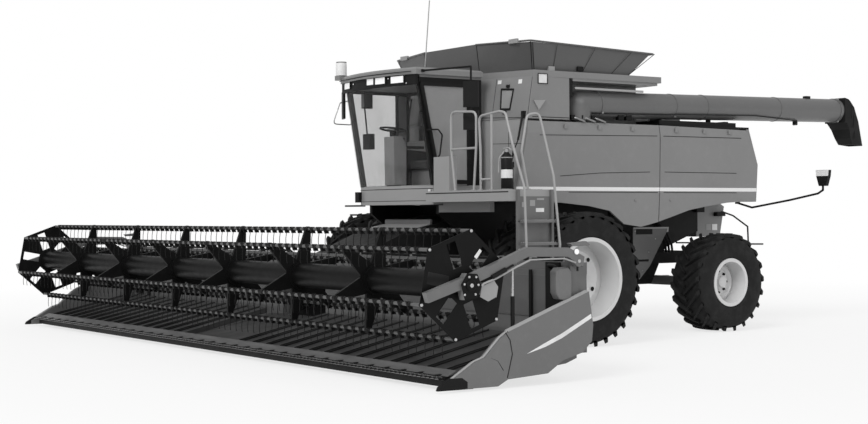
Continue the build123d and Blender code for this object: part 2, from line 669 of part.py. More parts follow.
def mirrors():
    """A mirror beside the cab's right corner and a taller pair out over the platform."""
    right = block((-985, -VISOR_X), (-1510, -1470), (3764, 3800))
    right += bent_rod([(-970, -1490, 3782), (-1150, -1420, 3782), (-1150, -1420, 3300)], 14)
    right += mirror_head(-1150, -1420, 3235, 3640, -27)
    left = block((VISOR_X, 985), (-1510, -1470), (3764, 3800))
    left += bent_rod([(970, -1490, 3782), (1752, -1270, 3782), (1752, -1270, 3000)], 14)
    left += mirror_head(1752, -1270, 3235, 3585, 27) + mirror_head(1752, -1270, 2930, 3185, 27)
    return group(right, left)


parts["mirrors"] = mirrors()


# ---------------------------------------------------------------- platform, ladder and rails
def platform():
    """Deck tray beside the cab, out over the front wheels to the ladder's top."""
    deck = block((CAB_X + 55, DECK_OUT_X), (DECK_FRONT, -660), (DECK_Z - 150, DECK_Z))
    deck -= block((CAB_X + 95, DECK_OUT_X - 40), (DECK_FRONT + 40, -700), (1900, DECK_Z - 40))
    deck += block((CAB_X + 55, 1900), (-670, -345), (DECK_Z - 60, DECK_Z))
    deck += block((860, 2000), (-1150, -1080), (CAB_BASE - 110, CAB_BASE - 10))
    deck += block((960, 2000), (-1150, -1080), (CAB_BASE - 20, DECK_Z - 30))
    return deck


LADDER_STEPS = (520, 810, 1100, 1390, 1680)
LADDER_PANEL = (1330, 2020)    # foot and head of the closing sheet behind the upper steps


def ladder():
    """Two stiles with flat steps and a closing sheet, hung from the platform's outer edge."""
    ladder = block((DECK_OUT_X, DECK_OUT_X + 40), (-1330, -1290), (440, DECK_Z))
    ladder += block((DECK_OUT_X, DECK_OUT_X + 40), (-760, -720), (440, DECK_Z))
    ladder += block((DECK_OUT_X, DECK_OUT_X + 8), (-1300, -750), LADDER_PANEL)
    for z in LADDER_STEPS:
        ladder += block((DECK_OUT_X, DECK_OUT_X + 160), (-1300, -750), (z, z + 30))
    return ladder


LOW_RAIL_Z = 2250              # short bar low on the second rail


def deck_fittings():
    """Extinguisher and control box that stand on the deck's front edge."""
    bottle = rod((2580, -1340, DECK_Z), (2580, -1340, DECK_Z + 420), 75)
    bottle += rod((2580, -1340, DECK_Z + 420), (2580, -1340, DECK_Z + 480), 30)
    box = block((1120, 1470), (-1430, -1300), (DECK_Z, 2580))
    return group(bottle, box)


def rail(points):
    """Bent handrail tube with a foot plate under each end that stands on the deck."""
    tube = bent_rod(points, RAIL_R)
    for x, y, z in (points[0], points[-1]):
        if abs(z - DECK_Z) < 20:
            tube += block((x - 30, x + 30), (y - 24, y + 24), (DECK_Z, DECK_Z + 16))
    return tube


def handrails():
    """Tubes along the platform's front edge and down both sides of the ladder."""
    y, foot = DECK_FRONT + 30, DECK_Z + 10
    stile_face = DECK_OUT_X + 40
    gate = rail([(1590, y, foot), (1505, y, 2670), (1505, y, 3180), (2050, y, 3150),
                 (2050, y, 2720), (1995, y, foot)])
    gate += rod((1505, y, 2670), (2045, y, 2670), RAIL_R)
    front = rail([(2140, y, foot), (2140, y, 2600), (2110, y, 3085), (2530, y, 3125),
                  (2655, y, 3105), (2790, y, 2700), (2930, -1340, 2130), (2930, -1310, 1330),
                  (stile_face, -1310, 1330)])
    front += rail([(2370, y, foot), (2370, y, 3105)])
    front += rod((2140, y, LOW_RAIL_Z), (2370, y, LOW_RAIL_Z), RAIL_R)
    rear = rail([(2705, -1090, foot), (2705, -1200, 2600), (2705, -1100, 3080),
                 (2760, -944, 3110), (2930, -850, 2280), (2930, -740, 1330),
                 (stile_face, -740, 1330)])
    return group(gate, front, rear)


parts["platform"] = platform()
parts["ladder"] = ladder()
parts["handrails"] = handrails()
parts["deck_fittings"] = deck_fittings()


# ---------------------------------------------------------------- bars at the rear
def tail_lamp_arm():
    """Left bar that carries the wide-set tail lamp out from the rear hood."""
    y = 4640
    arm = bent_rod([(1141, 4584, 1944), (1386, y, 1870), (2137, y, 1980), (2665, y, 2073),
                    (2757, y, 2124), (2757, y, 2200)], 16)
    arm += block((1105, 1177), (4565, 4600), (1930, 2005))
    lamp = [(2703, 2185), (2831, 2185), (2877, 2332), (2887, 2425), (2649, 2425), (2657, 2332)]
    return arm + front_prism(lamp, y - 30, y + 30)


def spreader_rod():
    """Left cranked rod behind the chopper box."""
    x = CHOPPER_X + 40
    return bent_rod([(CHOPPER_X, 4630, 1800), (x, 4630, 1800), (x, 4857, 1741), (x, 5199, 1561),
                     (x, 5214, 1275), (x, 5563, 1269)], 13)


parts["tail_lamp_arms"] = group(pair(tail_lamp_arm()), pair(spreader_rod()))


# ---------------------------------------------------------------- feeder house and lift rams
def feeder_house():
    """Tapering duct from the header to the threshing housing, with ram lugs below."""
    outer = [(-400, 1780), (-1500, 1560), (-2690, 1080), (-2690, 330), (-440, 1000), (-330, 1560)]
    inner = [(-380, 1700), (-2700, 1030), (-2700, 385), (-430, 1060), (-320, 1560)]
    duct = side_prism(outer, -600, 600) - side_prism(inner, -560, 560)
    duct += disc_x(60, -600, 600, *FEEDER_PIVOT)
    for side in (1, -1):
        for x in (390, 510):
            duct += side_prism([(-1650, 655), (-1850, 595), (-1790, 455), (-1710, 455)],
                               side * x - 12, side * x + 12)
    return duct


def lift_rams():
    """The pair of header lift rams: barrels on the axle, rods under the feeder house."""
    base, eye = Vector(0, -100, 620), Vector(0, -1750, 500)
    axis = (eye - base).normalized()
    barrels, rods = [], []
    for x in (-450, 450):
        off = Vector(x, 0, 0)
        barrel = rod(tuple(base + off + axis * 40), tuple(base + off + axis * 1120), 60)
        barrel += disc_x(48, x - 35, x + 35, -100, 620)
        barrel -= disc_x(24 + PIN_GAP, x - 80, x + 80, -100, 620)
        barrel -= rod(tuple(base + off + axis * 600), tuple(base + off + axis * 1130), 38 + PIN_GAP)
        ram = rod(tuple(base + off + axis * 650), tuple(eye + off - axis * 30), 38)
        ram += disc_x(42, x - 35, x + 35, -1750, 500)
        barrels.append(barrel)
        rods.append(ram)
    return group(*barrels), group(*rods)


parts["feeder_house"] = feeder_house()
parts["lift_barrels"], parts["lift_rods"] = lift_rams()


# ---------------------------------------------------------------- header
def header_back():
    """Back wall with beams, uprights, the end posts and the mouth for the feeder."""
    wall = block((-5565, 5565), (BACK_Y, BACK_Y + 30), (300, 1180))
    wall += block((-5565, 5565), (BACK_Y + 30, BACK_Y + 150), (1140, 1270))
    wall += block((-5300, 5300), (BACK_Y + 30, BACK_Y + 150), (240, 370))
    for x in (-5500, -3900, -2350, -740, 740, 2350, 3900, 5500):
        wall += block((x - 60, x + 60), (BACK_Y + 30, BACK_Y + 150), (300, 1200))
    wall -= block((-560, 560), (BACK_Y - 10, BACK_Y + 160), (385, 1030))
    for side in (1, -1):
        post = block((5480, 5565), (BACK_Y - 90, BACK_Y), (470, 1345))
        post += disc_x(25, 5560, 5605, *ARM_PIVOT)
        wall += post if side > 0 else mirrored(post)
    return wall


def deck_z(y, drop=0):
    """Height of the draper deck at a place along the header's depth."""
    (y0, z0), (y1, z1) = DECK_POINTS
    return z0 + (y - y0) * (z1 - z0) / (y1 - y0) - drop


def header_legs():
    """Arms under the belts from the back wall to the cutterbar, and the end sheets."""
    def leg(x0, x1, drop):
        return side_prism([(-4500, 45), (-4500, deck_z(-4500, drop)), (-3000, deck_z(-3000, drop)),
                           (BACK_Y, deck_z(-3000, drop)), (BACK_Y, 250), (-3000, 200)], x0, x1)
    legs = [leg(x - 40, x + 40, BELT_T + 4) for x in (-3900, -2350, -740, 740, 2350, 3900)]
    for side in (1, -1):
        end = leg(5482, 5563, 20)
        end += block((5482, 5495), (-3740, -3660), (deck_z(-3700, 40), 540))
        end += block((5550, 5563), (-3740, -3660), (deck_z(-3700, 40), 540))
        end += disc_x(20, 5482, 5563, -3700, 500)
        legs.append(end if side > 0 else mirrored(end))
    return group(*legs)


def draper(x0, x1, slat_pitch):
    """Flat belt loop with slats across it; its slats run front to rear."""
    (y0, z0), (y1, z1) = DECK_POINTS
    belt = side_prism([(y0, z0), (y1, z1), (y1, z1 - BELT_T), (y0, z0 - BELT_T)], x0, x1)
    count = int((x1 - x0) / slat_pitch)
    for k in range(count):
        x = x0 + (k + 0.5) * (x1 - x0) / count
        belt += side_prism([(y0 + 60, z0 + 5), (y0 + 60, z0 + 35), (y1 - 40, z1 + 12),
                            (y1 - 40, z1 - 15)], x - 8, x + 8)
    return belt


def centre_draper():
    """Short belt that feeds backwards into the feeder house."""
    belt = side_prism([(-4450, 120), (-2870, 400), (-2870, 330), (-4450, 60)], -690, 690)
    return belt


def cutterbar():
    """Long bar with pointed guards."""
    pitch, count = 76.2, 144
    start = -pitch * count / 2
    points = [(start, -4500), (start, -4560)]
    for k in range(count):
        x = start + k * pitch
        points += [(x + 14, -4560), (x + pitch / 2, -4650), (x + pitch - 14, -4560)]
    points += [(-start, -4560), (-start, -4500)]
    guards = plan_prism(points, 118, 138)
    return guards + block((start, -start), (-4560, -4500), (45, 150))


def end_shield():
    """Left end shield and pointed divider, one moulding."""
    outline = [(-4760, 30), (-4690, 75), (-4300, 290), (-4170, 330), (-3960, 520), (-3840, 590),
               (-2750, 962), (-2690, 600), (-2710, 430), (-2840, 315), (-3120, 246),
               (-3330, 122), (-3870, 94), (-4000, 30)]
    plan = [(5600, -4765), (5625, -4765), (HEADER_X + SHIELD_END_T + 5, -3900),
            (HEADER_X + SHIELD_END_T + 5, -2680), (HEADER_X, -2680), (HEADER_X, -4400)]
    return side_prism(outline, HEADER_X - 10, HEADER_X + 100) & plan_prism(plan, 0, 1200)


parts["header_back"] = header_back()
parts["header_legs"] = header_legs()
side_draper = draper(760, 5470, 330)
parts["draper_belts"] = group(side_draper, mirrored(side_draper), centre_draper())
parts["cutterbar"] = cutterbar()
parts["end_shield_left"] = end_shield()
parts["end_shield_right"] = mirrored(parts["end_shield_left"])


# ---------------------------------------------------------------- reel
# bearing plate on each reel arm, (Y, Z)
HUB_PLATE = [(-4480, 1090), (-4400, 1200), (-4270, 1190), (-4215, 1060), (-4270, 945),
             (-4430, 930)]


def reel_arm():
    """Left reel arm: a bent box tube from its pivot to the reel's bearing."""
    outline = [(-2800, 1335), (-3020, 1436), (-3580, 1450), (-4071, 1275), (-4330, 1190),
               (-4902, 1017), (-4866, 916), (-4330, 1075), (-4071, 1165), (-3580, 1350),
               (-3040, 1340), (-2820, 1230)]
    arm = side_prism(outline, ARM_X0, ARM_X1)
    arm += side_prism(HUB_PLATE, ARM_X0, ARM_X1 + 15)
    arm += disc_x(60, ARM_X0, ARM_X1, *ARM_PIVOT)
    for x in (5487, 5550):
        arm += block((x, x + 13), (-3735, -3665), (1240, 1340))
    arm += block((5487, ARM_X0 + 5), (-3735, -3665), (1325, 1350))
    arm -= disc_x(25 + PIN_GAP, ARM_X0 - 10, 5606, *ARM_PIVOT)
    arm -= disc_x(35 + PIN_GAP, ARM_X0 - 10, 5606, REEL_Y, REEL_Z)
    return arm


def reel_rams():
    """Upright rams that lift the reel arms, one at each end."""
    x, y, z0, z1 = 5522.5, -3700, 500, 1270
    barrel = rod((x, y, z0 + 20), (x, y, z0 + 440), 22)
    barrel += disc_x(32, x - 22, x + 22, y, z0)
    barrel -= disc_x(20 + PIN_GAP, x - 60, x + 60, y, z0)
    barrel -= rod((x, y, z0 + 90), (x, y, z0 + 450), 14 + PIN_GAP)
    ram = rod((x, y, z0 + 100), (x, y, z1), 14)
    ram += disc_x(24, x - 20, x + 20, y, z1)
    return pair(barrel), pair(ram)


def bat_places():
    """(Y, Z) of the six bats."""
    turns = [math.radians(REEL_PHASE + 60 * k) for k in range(6)]
    return [(REEL_Y + REEL_R * math.cos(a), REEL_Z + REEL_R * math.sin(a)) for a in turns]


SPIDER_X = [-3952, -2371, -790, 790, 2371, 3952]
REEL_TUBE_R, STAR_TIP, STAR_VALLEY = 145, REEL_R - BAT_R, 200


def star():
    """Six-armed spider, widest at its hub, about the reel's axis."""
    points = []
    for k in range(6):
        turn = math.radians(REEL_PHASE + 60 * k)
        for radius, side in ((STAR_TIP, -38), (STAR_TIP, 38)):
            points.append((radius * math.cos(turn) - side * math.sin(turn),
                           radius * math.sin(turn) + side * math.cos(turn)))
        valley = turn + math.radians(30)
        points.append((STAR_VALLEY * math.cos(valley), STAR_VALLEY * math.sin(valley)))
    return side_prism(points, -18, 18) + disc_x(175, -45, 45, 0, 0)


def reel_rotor():
    """Centre tube, six-armed spiders along it and a windowed plate at each end."""
    rotor = disc_x(REEL_TUBE_R, -REEL_END_X, REEL_END_X, REEL_Y, REEL_Z)
    for side in (1, -1):
        rotor += disc_x(35, side * (REEL_END_X - 5), side * 5600, REEL_Y, REEL_Z)
    spider = star()
    for x in SPIDER_X:
        rotor += Pos(x, REEL_Y, REEL_Z) * spider
    corners = bat_places()
    big = [(REEL_Y + (y - REEL_Y) * 1.04, REEL_Z + (z - REEL_Z) * 1.04) for y, z in corners]
    plate = side_prism(big, REEL_END_X - 8, REEL_END_X)
    for k in range(6):
        window = Rot(60 * k + REEL_PHASE + 30, 0, 0) * Pos(0, 325, 0) * Box(60, 270, 125)
        plate -= Pos(REEL_END_X, REEL_Y, REEL_Z) * window
    rotor += plate + mirrored(plate)
    for y, z in corners:
        rotor -= disc_x(BAT_R, -REEL_END_X + 20, REEL_END_X - 20, y, z)
    return rotor


def bat(y, z):
    """One bat tube with its comb of spring tines, which hang downwards."""
    length, half = 2 * (REEL_END_X - 22), REEL_END_X - 22
    count = 2 * int(length / TINE_PITCH / 2)
    start = -count * TINE_PITCH / 2
    points = [(start, z - BAT_R + 6), (start, z)]
    points += [(-start, z), (-start, z - BAT_R + 6)]
    for k in range(count, 0, -1):
        x = start + (k - 0.5) * TINE_PITCH
        points += [(x + 5, z - BAT_R + 6), (x + 3, z - TINE_LEN), (x - 3, z - TINE_LEN),
                   (x - 5, z - BAT_R + 6)]
    comb = front_prism(points, y - 4, y + 4)
    return comb + disc_x(BAT_R, -half, half, y, z)


parts["reel_arms"] = pair(reel_arm())
parts["reel_barrels"], parts["reel_rods"] = reel_rams()
parts["reel_rotor"] = reel_rotor()
parts["reel_bats"] = group(*[bat(y, z) for y, z in bat_places()])


# ---------------------------------------------------------------- export
os.makedirs("parts", exist_ok=True)
for node, shape in parts.items():
    export_step(Pos(0, -Y_MID, 0) * shape, f"parts/{node}.step")
    print(node, len(shape.solids()), round(shape.volume / 1e6, 2), "litres")
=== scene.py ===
# %% [markdown]
# A combine harvester with a wide draper header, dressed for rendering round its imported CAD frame.
# The frame gives every body, joint and plain solid. The cells below add the camera and the light,
# then one finish or one piece at a time, and each new piece rides on the body that carries it.

import math

import bmesh
import bpy
from mathutils import Matrix, Vector


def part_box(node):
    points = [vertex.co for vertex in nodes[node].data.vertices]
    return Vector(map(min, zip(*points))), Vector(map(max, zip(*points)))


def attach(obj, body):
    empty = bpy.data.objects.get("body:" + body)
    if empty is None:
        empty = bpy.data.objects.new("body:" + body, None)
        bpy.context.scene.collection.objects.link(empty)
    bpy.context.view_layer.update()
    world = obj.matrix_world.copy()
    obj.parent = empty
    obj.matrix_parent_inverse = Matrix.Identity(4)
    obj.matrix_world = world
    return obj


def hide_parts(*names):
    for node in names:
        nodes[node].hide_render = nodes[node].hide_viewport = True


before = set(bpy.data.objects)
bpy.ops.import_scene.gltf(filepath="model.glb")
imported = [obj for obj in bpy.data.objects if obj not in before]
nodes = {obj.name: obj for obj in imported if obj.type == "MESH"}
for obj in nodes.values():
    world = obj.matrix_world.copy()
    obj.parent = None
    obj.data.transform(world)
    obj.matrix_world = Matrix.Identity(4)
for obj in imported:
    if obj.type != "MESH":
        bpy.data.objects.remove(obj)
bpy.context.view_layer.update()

# %% [markdown]
# On a machine like this every place is easiest to give from the front axle, which carries most of
# the weight and from which a fitter would measure. The frame's origin is under the middle of the
# machine instead, so each piece is drawn about the axle and then moved by `AXLE_Y`.

# %% Measures from the front axle
def centre_of(node):
    """Middle of a CAD node's box."""
    low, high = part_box(node)
    return (low + high) / 2


AXLE = centre_of("front_tyres_left")
REAR_AXLE = centre_of("rear_tyre_left")
AXLE_Y = AXLE.y
WHEELBASE = REAR_AXLE.y - AXLE_Y
print("wheelbase", round(WHEELBASE, 3))

# %% [markdown]
# The camera stands at the machine's front left at eye height and looks almost level, through a
# fairly long lens that keeps the long header from spreading. Its film is shifted a little, as on a
# view camera, because the picture's middle isn't where the lens points.

# %% The camera
CAMERA_AZIMUTH, CAMERA_DROP, CAMERA_ROLL = 57.203, 0.2225, -0.3358
LENS, SHIFT_X, SHIFT_Y = 61.15, 0.11596, 0.00886
EYE = (17.4232, AXLE_Y - 13.583, 1.8066)

azimuth, drop, roll = map(math.radians, (CAMERA_AZIMUTH, CAMERA_DROP, CAMERA_ROLL))
forward = Vector((-math.sin(azimuth) * math.cos(drop), math.cos(azimuth) * math.cos(drop),
                  -math.sin(drop)))
level_right = Vector((math.cos(azimuth), math.sin(azimuth), 0))
level_up = level_right.cross(forward)
right = level_right * math.cos(roll) + level_up * math.sin(roll)
up = level_up * math.cos(roll) - level_right * math.sin(roll)

camera_data = bpy.data.cameras.new("camera")
camera_data.sensor_width = 36
camera_data.lens = LENS
camera_data.shift_x, camera_data.shift_y = SHIFT_X, SHIFT_Y
camera_data.clip_end = 300
camera = bpy.data.objects.new("camera", camera_data)
camera.matrix_world = Matrix((
    (right.x, up.x, -forward.x, EYE[0]),
    (right.y, up.y, -forward.y, EYE[1]),
    (right.z, up.z, -forward.z, EYE[2]),
    (0, 0, 0, 1),
))
bpy.context.scene.collection.objects.link(camera)
bpy.context.scene.camera = camera
bpy.context.scene.view_settings.view_transform = "Standard"
print("camera", tuple(round(v, 2) for v in camera.location))

# %% [markdown]
# A shader can be wired by hand in the editor, but its maths reads best as plain expressions. `Sum`
# wraps one output socket, and +, -, *, > and < on it add Math nodes. The reflected forms let a
# plain number stand on the left, as in 1 - mask.

# %% Shader expressions
class Sum:
    """One output socket that can stand in a sum."""

    def __init__(self, finish, socket):
        self.finish = finish
        self.socket = socket

    def maths(self, operation, a, b=0.0):
        return self.finish.node("ShaderNodeMath", {"operation": operation}, {0: a, 1: b})

    def __add__(self, other):
        return self.maths("ADD", self, other)

    def __sub__(self, other):
        return self.maths("SUBTRACT", self, other)

    def __rsub__(self, other):
        return self.maths("SUBTRACT", other, self)

    def __mul__(self, other):
        return self.maths("MULTIPLY", self, other)

    def __gt__(self, other):
        return self.maths("GREATER_THAN", self, other)

    def __lt__(self, other):
        return self.maths("LESS_THAN", self, other)

    __radd__ = __add__
    __rmul__ = __mul__


# %% [markdown]
# `Finish` is one material. Its `node` method adds any node, with its settings first and then the
# values or links of its sockets, so a finish takes a few lines and no two share a node by mistake.

# %% The Finish class
class Finish:
    """A material under construction."""

    def __init__(self, name):
        self.material = bpy.data.materials.new(name)
        self.material.use_nodes = True
        self.tree = self.material.node_tree
        self.surface = self.tree.nodes["Principled BSDF"]

    def node(self, kind, settings=None, inputs=None, output=0):
        made = self.tree.nodes.new(kind)
        for key, value in (settings or {}).items():
            if key == "stops":
                self.set_stops(made.color_ramp, value)
            else:
                setattr(made, key, value)
        for key, value in (inputs or {}).items():
            self.feed(made.inputs[key], value)
        return Sum(self, made.outputs[output])

    def feed(self, socket, value):
        if isinstance(value, Sum):
            self.tree.links.new(value.socket, socket)
        else:
            socket.default_value = value

    def set_stops(self, ramp, stops):
        while len(ramp.elements) < len(stops):
            ramp.elements.new(0.5)
        for element, (place, tone) in zip(ramp.elements, stops):
            element.position = place
            element.color = (tone, tone, tone, 1)

    def set(self, **values):
        """Sockets of the surface by name, with _ for a space."""
        for key, value in values.items():
            self.feed(self.surface.inputs[key.replace("_", " ")], value)
        return self

    def place(self):
        """The point on the piece, in metres."""
        return self.node("ShaderNodeTexCoord", output="Object")

    def axis(self, letter):
        """One coordinate of that point."""
        return self.node("ShaderNodeSeparateXYZ", inputs={0: self.place()}, output=letter)

    def noise(self, scale, detail=2.0, rough=0.5):
        return self.node("ShaderNodeTexNoise", inputs={
            "Vector": self.place(), "Scale": scale, "Detail": detail, "Roughness": rough})

    def ramp(self, value, *stops):
        return self.node("ShaderNodeValToRGB", {"stops": stops}, {0: value})

    def blend(self, factor, first, second):
        """A colour between two greys or colours."""
        return self.node("ShaderNodeMix", {"data_type": "RGBA"},
                         {0: factor, 6: as_colour(first), 7: as_colour(second)}, 2)

    def bump(self, height, strength, distance):
        return self.node("ShaderNodeBump", inputs={
            "Strength": strength, "Distance": distance, "Height": height})


def as_colour(tone):
    """A grey from one number; a socket passes through."""
    return tone if isinstance(tone, Sum) else (tone, tone, tone, 1)


FINISHES = {}


def keep(name, finish):
    """Keeps a finished material under its name."""
    FINISHES[name] = finish.material
    return finish.material


# %% [markdown]
# Enamel on sheet steel is smooth, but never even: it has a faint waviness and a little dust, which
# dulls its gloss. One function makes every enamel, with the tone, the gloss, the shine and an
# optional pale stripe as its differences.

# %% Enamel finishes
def enamel(name, tone, gloss=0.32, stripe=None, wave=0.25, shine=0.5):
    """Painted sheet metal; stripe is (low, high) in height above the ground."""
    finish = Finish(name)
    dust_tone = min(0.42, tone * 2.5 + 0.02)
    cloud = finish.noise(1.3, 3)
    dust = finish.noise(9.0, 5, 0.65)
    body = finish.blend(cloud, tone * 0.92, tone * 1.08)
    dusty = finish.ramp(dust, (0.52, 0.0), (0.85, 1.0))
    colour = finish.blend(dusty * 0.10, body, dust_tone)
    if stripe:
        height = finish.axis("Z")
        band = (height > stripe[0]) * (height < stripe[1])
        colour = finish.blend(band, colour, 0.80)
    finish.set(Base_Color=colour, Roughness=finish.ramp(dust, (0.3, gloss), (0.8, gloss + 0.18)),
               Normal=finish.bump(cloud, wave, 0.01))
    finish.surface.inputs["Specular IOR Level"].default_value = shine
    finish.surface.inputs["Coat Weight"].default_value = 0.25 if shine > 0.3 else 0.0
    finish.surface.inputs["Coat Roughness"].default_value = 0.12
    return keep(name, finish)


STRIPE = (2.118, 2.172)
enamel("body_enamel", 0.205)
enamel("shield_enamel", 0.205, stripe=STRIPE)
enamel("extension_enamel", 0.085, gloss=0.45)
enamel("header_enamel", 0.135)
enamel("rim_enamel", 0.62, gloss=0.38)
enamel("rail_enamel", 0.34, gloss=0.35)
enamel("chassis_enamel", 0.11, gloss=0.45)
enamel("tube_enamel", 0.115, gloss=0.36)
enamel("frame_black", 0.008, gloss=0.42, shine=0.18)
enamel("reel_black", 0.005, gloss=0.36, shine=0.15)
enamel("pale_sheet", 0.30, gloss=0.40)
enamel("bat_enamel", 0.085, gloss=0.35)
enamel("guide_enamel", 0.10, gloss=0.45)
print("enamels", len(FINISHES))

# %% [markdown]
# Tyre rubber is a very dark grey that looks lighter where dust settles. Fine mould lines run round
# the side wall, so their height comes from the distance to the wheel's axis.

# %% Rubber finishes
def tyre_rubber(name, axle_y, axle_z):
    """Rubber whose side wall has fine rings about an axle along X."""
    finish = Finish(name)
    across = finish.axis("Y") - axle_y
    upward = finish.axis("Z") - axle_z
    radius = finish.node("ShaderNodeMath", {"operation": "SQRT"},
                         {0: across * across + upward * upward})
    rings = finish.node("ShaderNodeMath", {"operation": "SINE"}, {0: radius * 260.0})
    dust = finish.noise(7.0, 6, 0.6)
    grain = finish.noise(160.0, 2)
    colour = finish.blend(finish.ramp(dust, (0.45, 0.0), (0.8, 1.0)), 0.008, 0.026)
    finish.set(Base_Color=colour, Roughness=finish.ramp(dust, (0.3, 0.55), (0.8, 0.8)),
               Normal=finish.bump(rings * 0.5 + grain, 0.25, 0.004))
    finish.surface.inputs["Specular IOR Level"].default_value = 0.22
    return keep(name, finish)


def matt_rubber(name, tone, scale=60.0):
    """Plain moulded rubber or plastic."""
    finish = Finish(name)
    grain = finish.noise(scale, 3)
    cloud = finish.noise(4.0, 4)
    finish.set(Base_Color=finish.blend(cloud, tone * 0.75, tone * 1.4),
               Roughness=finish.ramp(cloud, (0.3, 0.45), (0.7, 0.7)),
               Normal=finish.bump(grain, 0.2, 0.002))
    finish.surface.inputs["Specular IOR Level"].default_value = 0.2 if tone < 0.3 else 0.5
    return keep(name, finish)


tyre_rubber("front_rubber", AXLE.y, AXLE.z)
tyre_rubber("rear_rubber", REAR_AXLE.y, REAR_AXLE.z)
matt_rubber("black_plastic", 0.007)
matt_rubber("belt_rubber", 0.045, 25.0)
matt_rubber("boot_rubber", 0.009)
print("finishes", len(FINISHES))

# %% [markdown]
# Bare steel shows on the knife, the rods of the rams and small fittings. It is a metal with fine
# ground marks, and its roughness varies more than its colour does. Glass is tinted and smooth, and
# a lamp's lens is ribbed and glows a little. The door glass is paler and less clear: its grey is a
# painted reflection of the sky.

# %% Metal, glass and lamp finishes
def bare_metal(name, tone, rough):
    """Ground or worn metal."""
    finish = Finish(name)
    streak = finish.noise(45.0, 4, 0.7)
    finish.set(Base_Color=finish.blend(streak, tone * 0.8, tone * 1.15), Metallic=0.9,
               Roughness=finish.ramp(streak, (0.3, rough), (0.8, rough + 0.2)))
    return keep(name, finish)


def glazing(name, tone, alpha):
    """Tinted pane: mostly clear, with a mirror-smooth face."""
    finish = Finish(name)
    smear = finish.noise(2.5, 4)
    finish.set(Base_Color=finish.blend(smear, tone, tone * 1.2),
               Roughness=finish.ramp(smear, (0.4, 0.03), (0.8, 0.08)),
               Alpha=finish.ramp(smear, (0.3, alpha), (0.8, alpha + 0.05)))
    return keep(name, finish)


def lamp_lens(name, tone, glow):
    """Ribbed lens with a faint glow of its own."""
    finish = Finish(name)
    rib = finish.node("ShaderNodeTexWave", inputs={"Vector": finish.place(), "Scale": 30.0})
    finish.set(Base_Color=finish.blend(rib, tone * 0.85, tone), Roughness=0.12,
               Emission_Color=finish.blend(rib, tone * 0.8, tone))
    finish.surface.inputs["Emission Strength"].default_value = glow
    return keep(name, finish)


bare_metal("bright_steel", 0.62, 0.22)
bare_metal("worn_steel", 0.35, 0.35)
glazing("cab_glass", 0.03, 0.16)
glazing("mirror_glass", 0.25, 0.95)
# Painted reflection: the door glass's pale grey and low clearness stand in for the sky it reflects.
glazing("door_glass", 0.34, 0.55)
lamp_lens("white_lens", 0.85, 0.35)
lamp_lens("amber_lens", 0.55, 0.1)
matt_rubber("plate_paint", 0.72, 12.0)

# %% [markdown]
# The operator's seat is covered in a dark woven cloth. Two crossed wave patterns give the weave
# its height, and a slow noise keeps the cloth from looking printed.

# %% Seat cloth
cloth = Finish("seat_cloth")
warp = cloth.node("ShaderNodeTexWave", {"bands_direction": "X"},
                  {"Vector": cloth.place(), "Scale": 160.0})
weft = cloth.node("ShaderNodeTexWave", {"bands_direction": "Z"},
                  {"Vector": cloth.place(), "Scale": 160.0})
cloth.set(Base_Color=cloth.blend(cloth.noise(30.0, 3), 0.02, 0.05), Roughness=0.85,
          Normal=cloth.bump(warp * weft, 0.3, 0.001))
cloth.surface.inputs["Sheen Weight"].default_value = 0.3
keep("seat_cloth", cloth)
print("finishes", len(FINISHES))

# %% [markdown]
# Each CAD node that stays in view takes one of these finishes. The table lists the nodes by
# finish, so that a node without one shows up at once.

# %% Finishes of the CAD nodes
NODE_FINISH = {
    "shield_enamel": ("side_shield_front_left", "side_shield_front_right",
                      "side_shield_rear_left", "side_shield_rear_right"),
    "body_enamel": ("grain_tank", "cab_roof", "rear_hood", "straw_chopper"),
    "tube_enamel": ("auger_tube", "auger_base"),
    "extension_enamel": ("tank_extension",),
    "header_enamel": ("ladder", "end_shield_left", "end_shield_right", "reel_arms"),
    "pale_sheet": ("platform", "deck_fittings", "cab_floor"),
    "rim_enamel": ("front_rims_left", "front_rims_right", "rear_rim_left", "rear_rim_right"),
    "rail_enamel": ("handrails", "antenna"),
    "chassis_enamel": ("front_axle", "rear_axle", "knuckle_left", "knuckle_right",
                       "engine_block", "header_legs", "side_panels", "header_back"),
    "frame_black": ("cab_frame", "cab_door_frame", "feeder_house", "cooling_box",
                    "engine_deck", "mirrors", "lift_barrels", "reel_barrels",
                    "tail_lamp_arms", "steering_column", "light_bar",
                    "separator_body", "main_frame", "upper_frame", "cutterbar"),
    "reel_black": ("reel_rotor", "reel_bats"),
    "boot_rubber": ("auger_spout",),
    "belt_rubber": ("draper_belts",),
    "bright_steel": ("lift_rods", "reel_rods"),
    "cab_glass": ("cab_windows",),
    "door_glass": ("cab_door_glass",),
    "seat_cloth": ("seat_cushions",),
    "front_rubber": ("front_tyres_left", "front_tyres_right"),
    "rear_rubber": ("rear_tyre_left", "rear_tyre_right"),
}
left_over = set(nodes)
for finish_name, node_names in NODE_FINISH.items():
    for node_name in node_names:
        shown = nodes[node_name]
        shown.data.materials.clear()
        shown.data.materials.append(FINISHES[finish_name])
        left_over.discard(node_name)
print("nodes without a finish:", sorted(left_over))

# %% [markdown]
# The machine stands on a pale floor under soft daylight. The floor keeps the shadow near the
# wheels and turns into plain white further out, so that no horizon line crosses the picture.

# %% Floor, world and lights
def link(obj):
    bpy.context.scene.collection.objects.link(obj)
    return obj


FLOOR_REACH, DISTANCE_UNIT = 140, 30

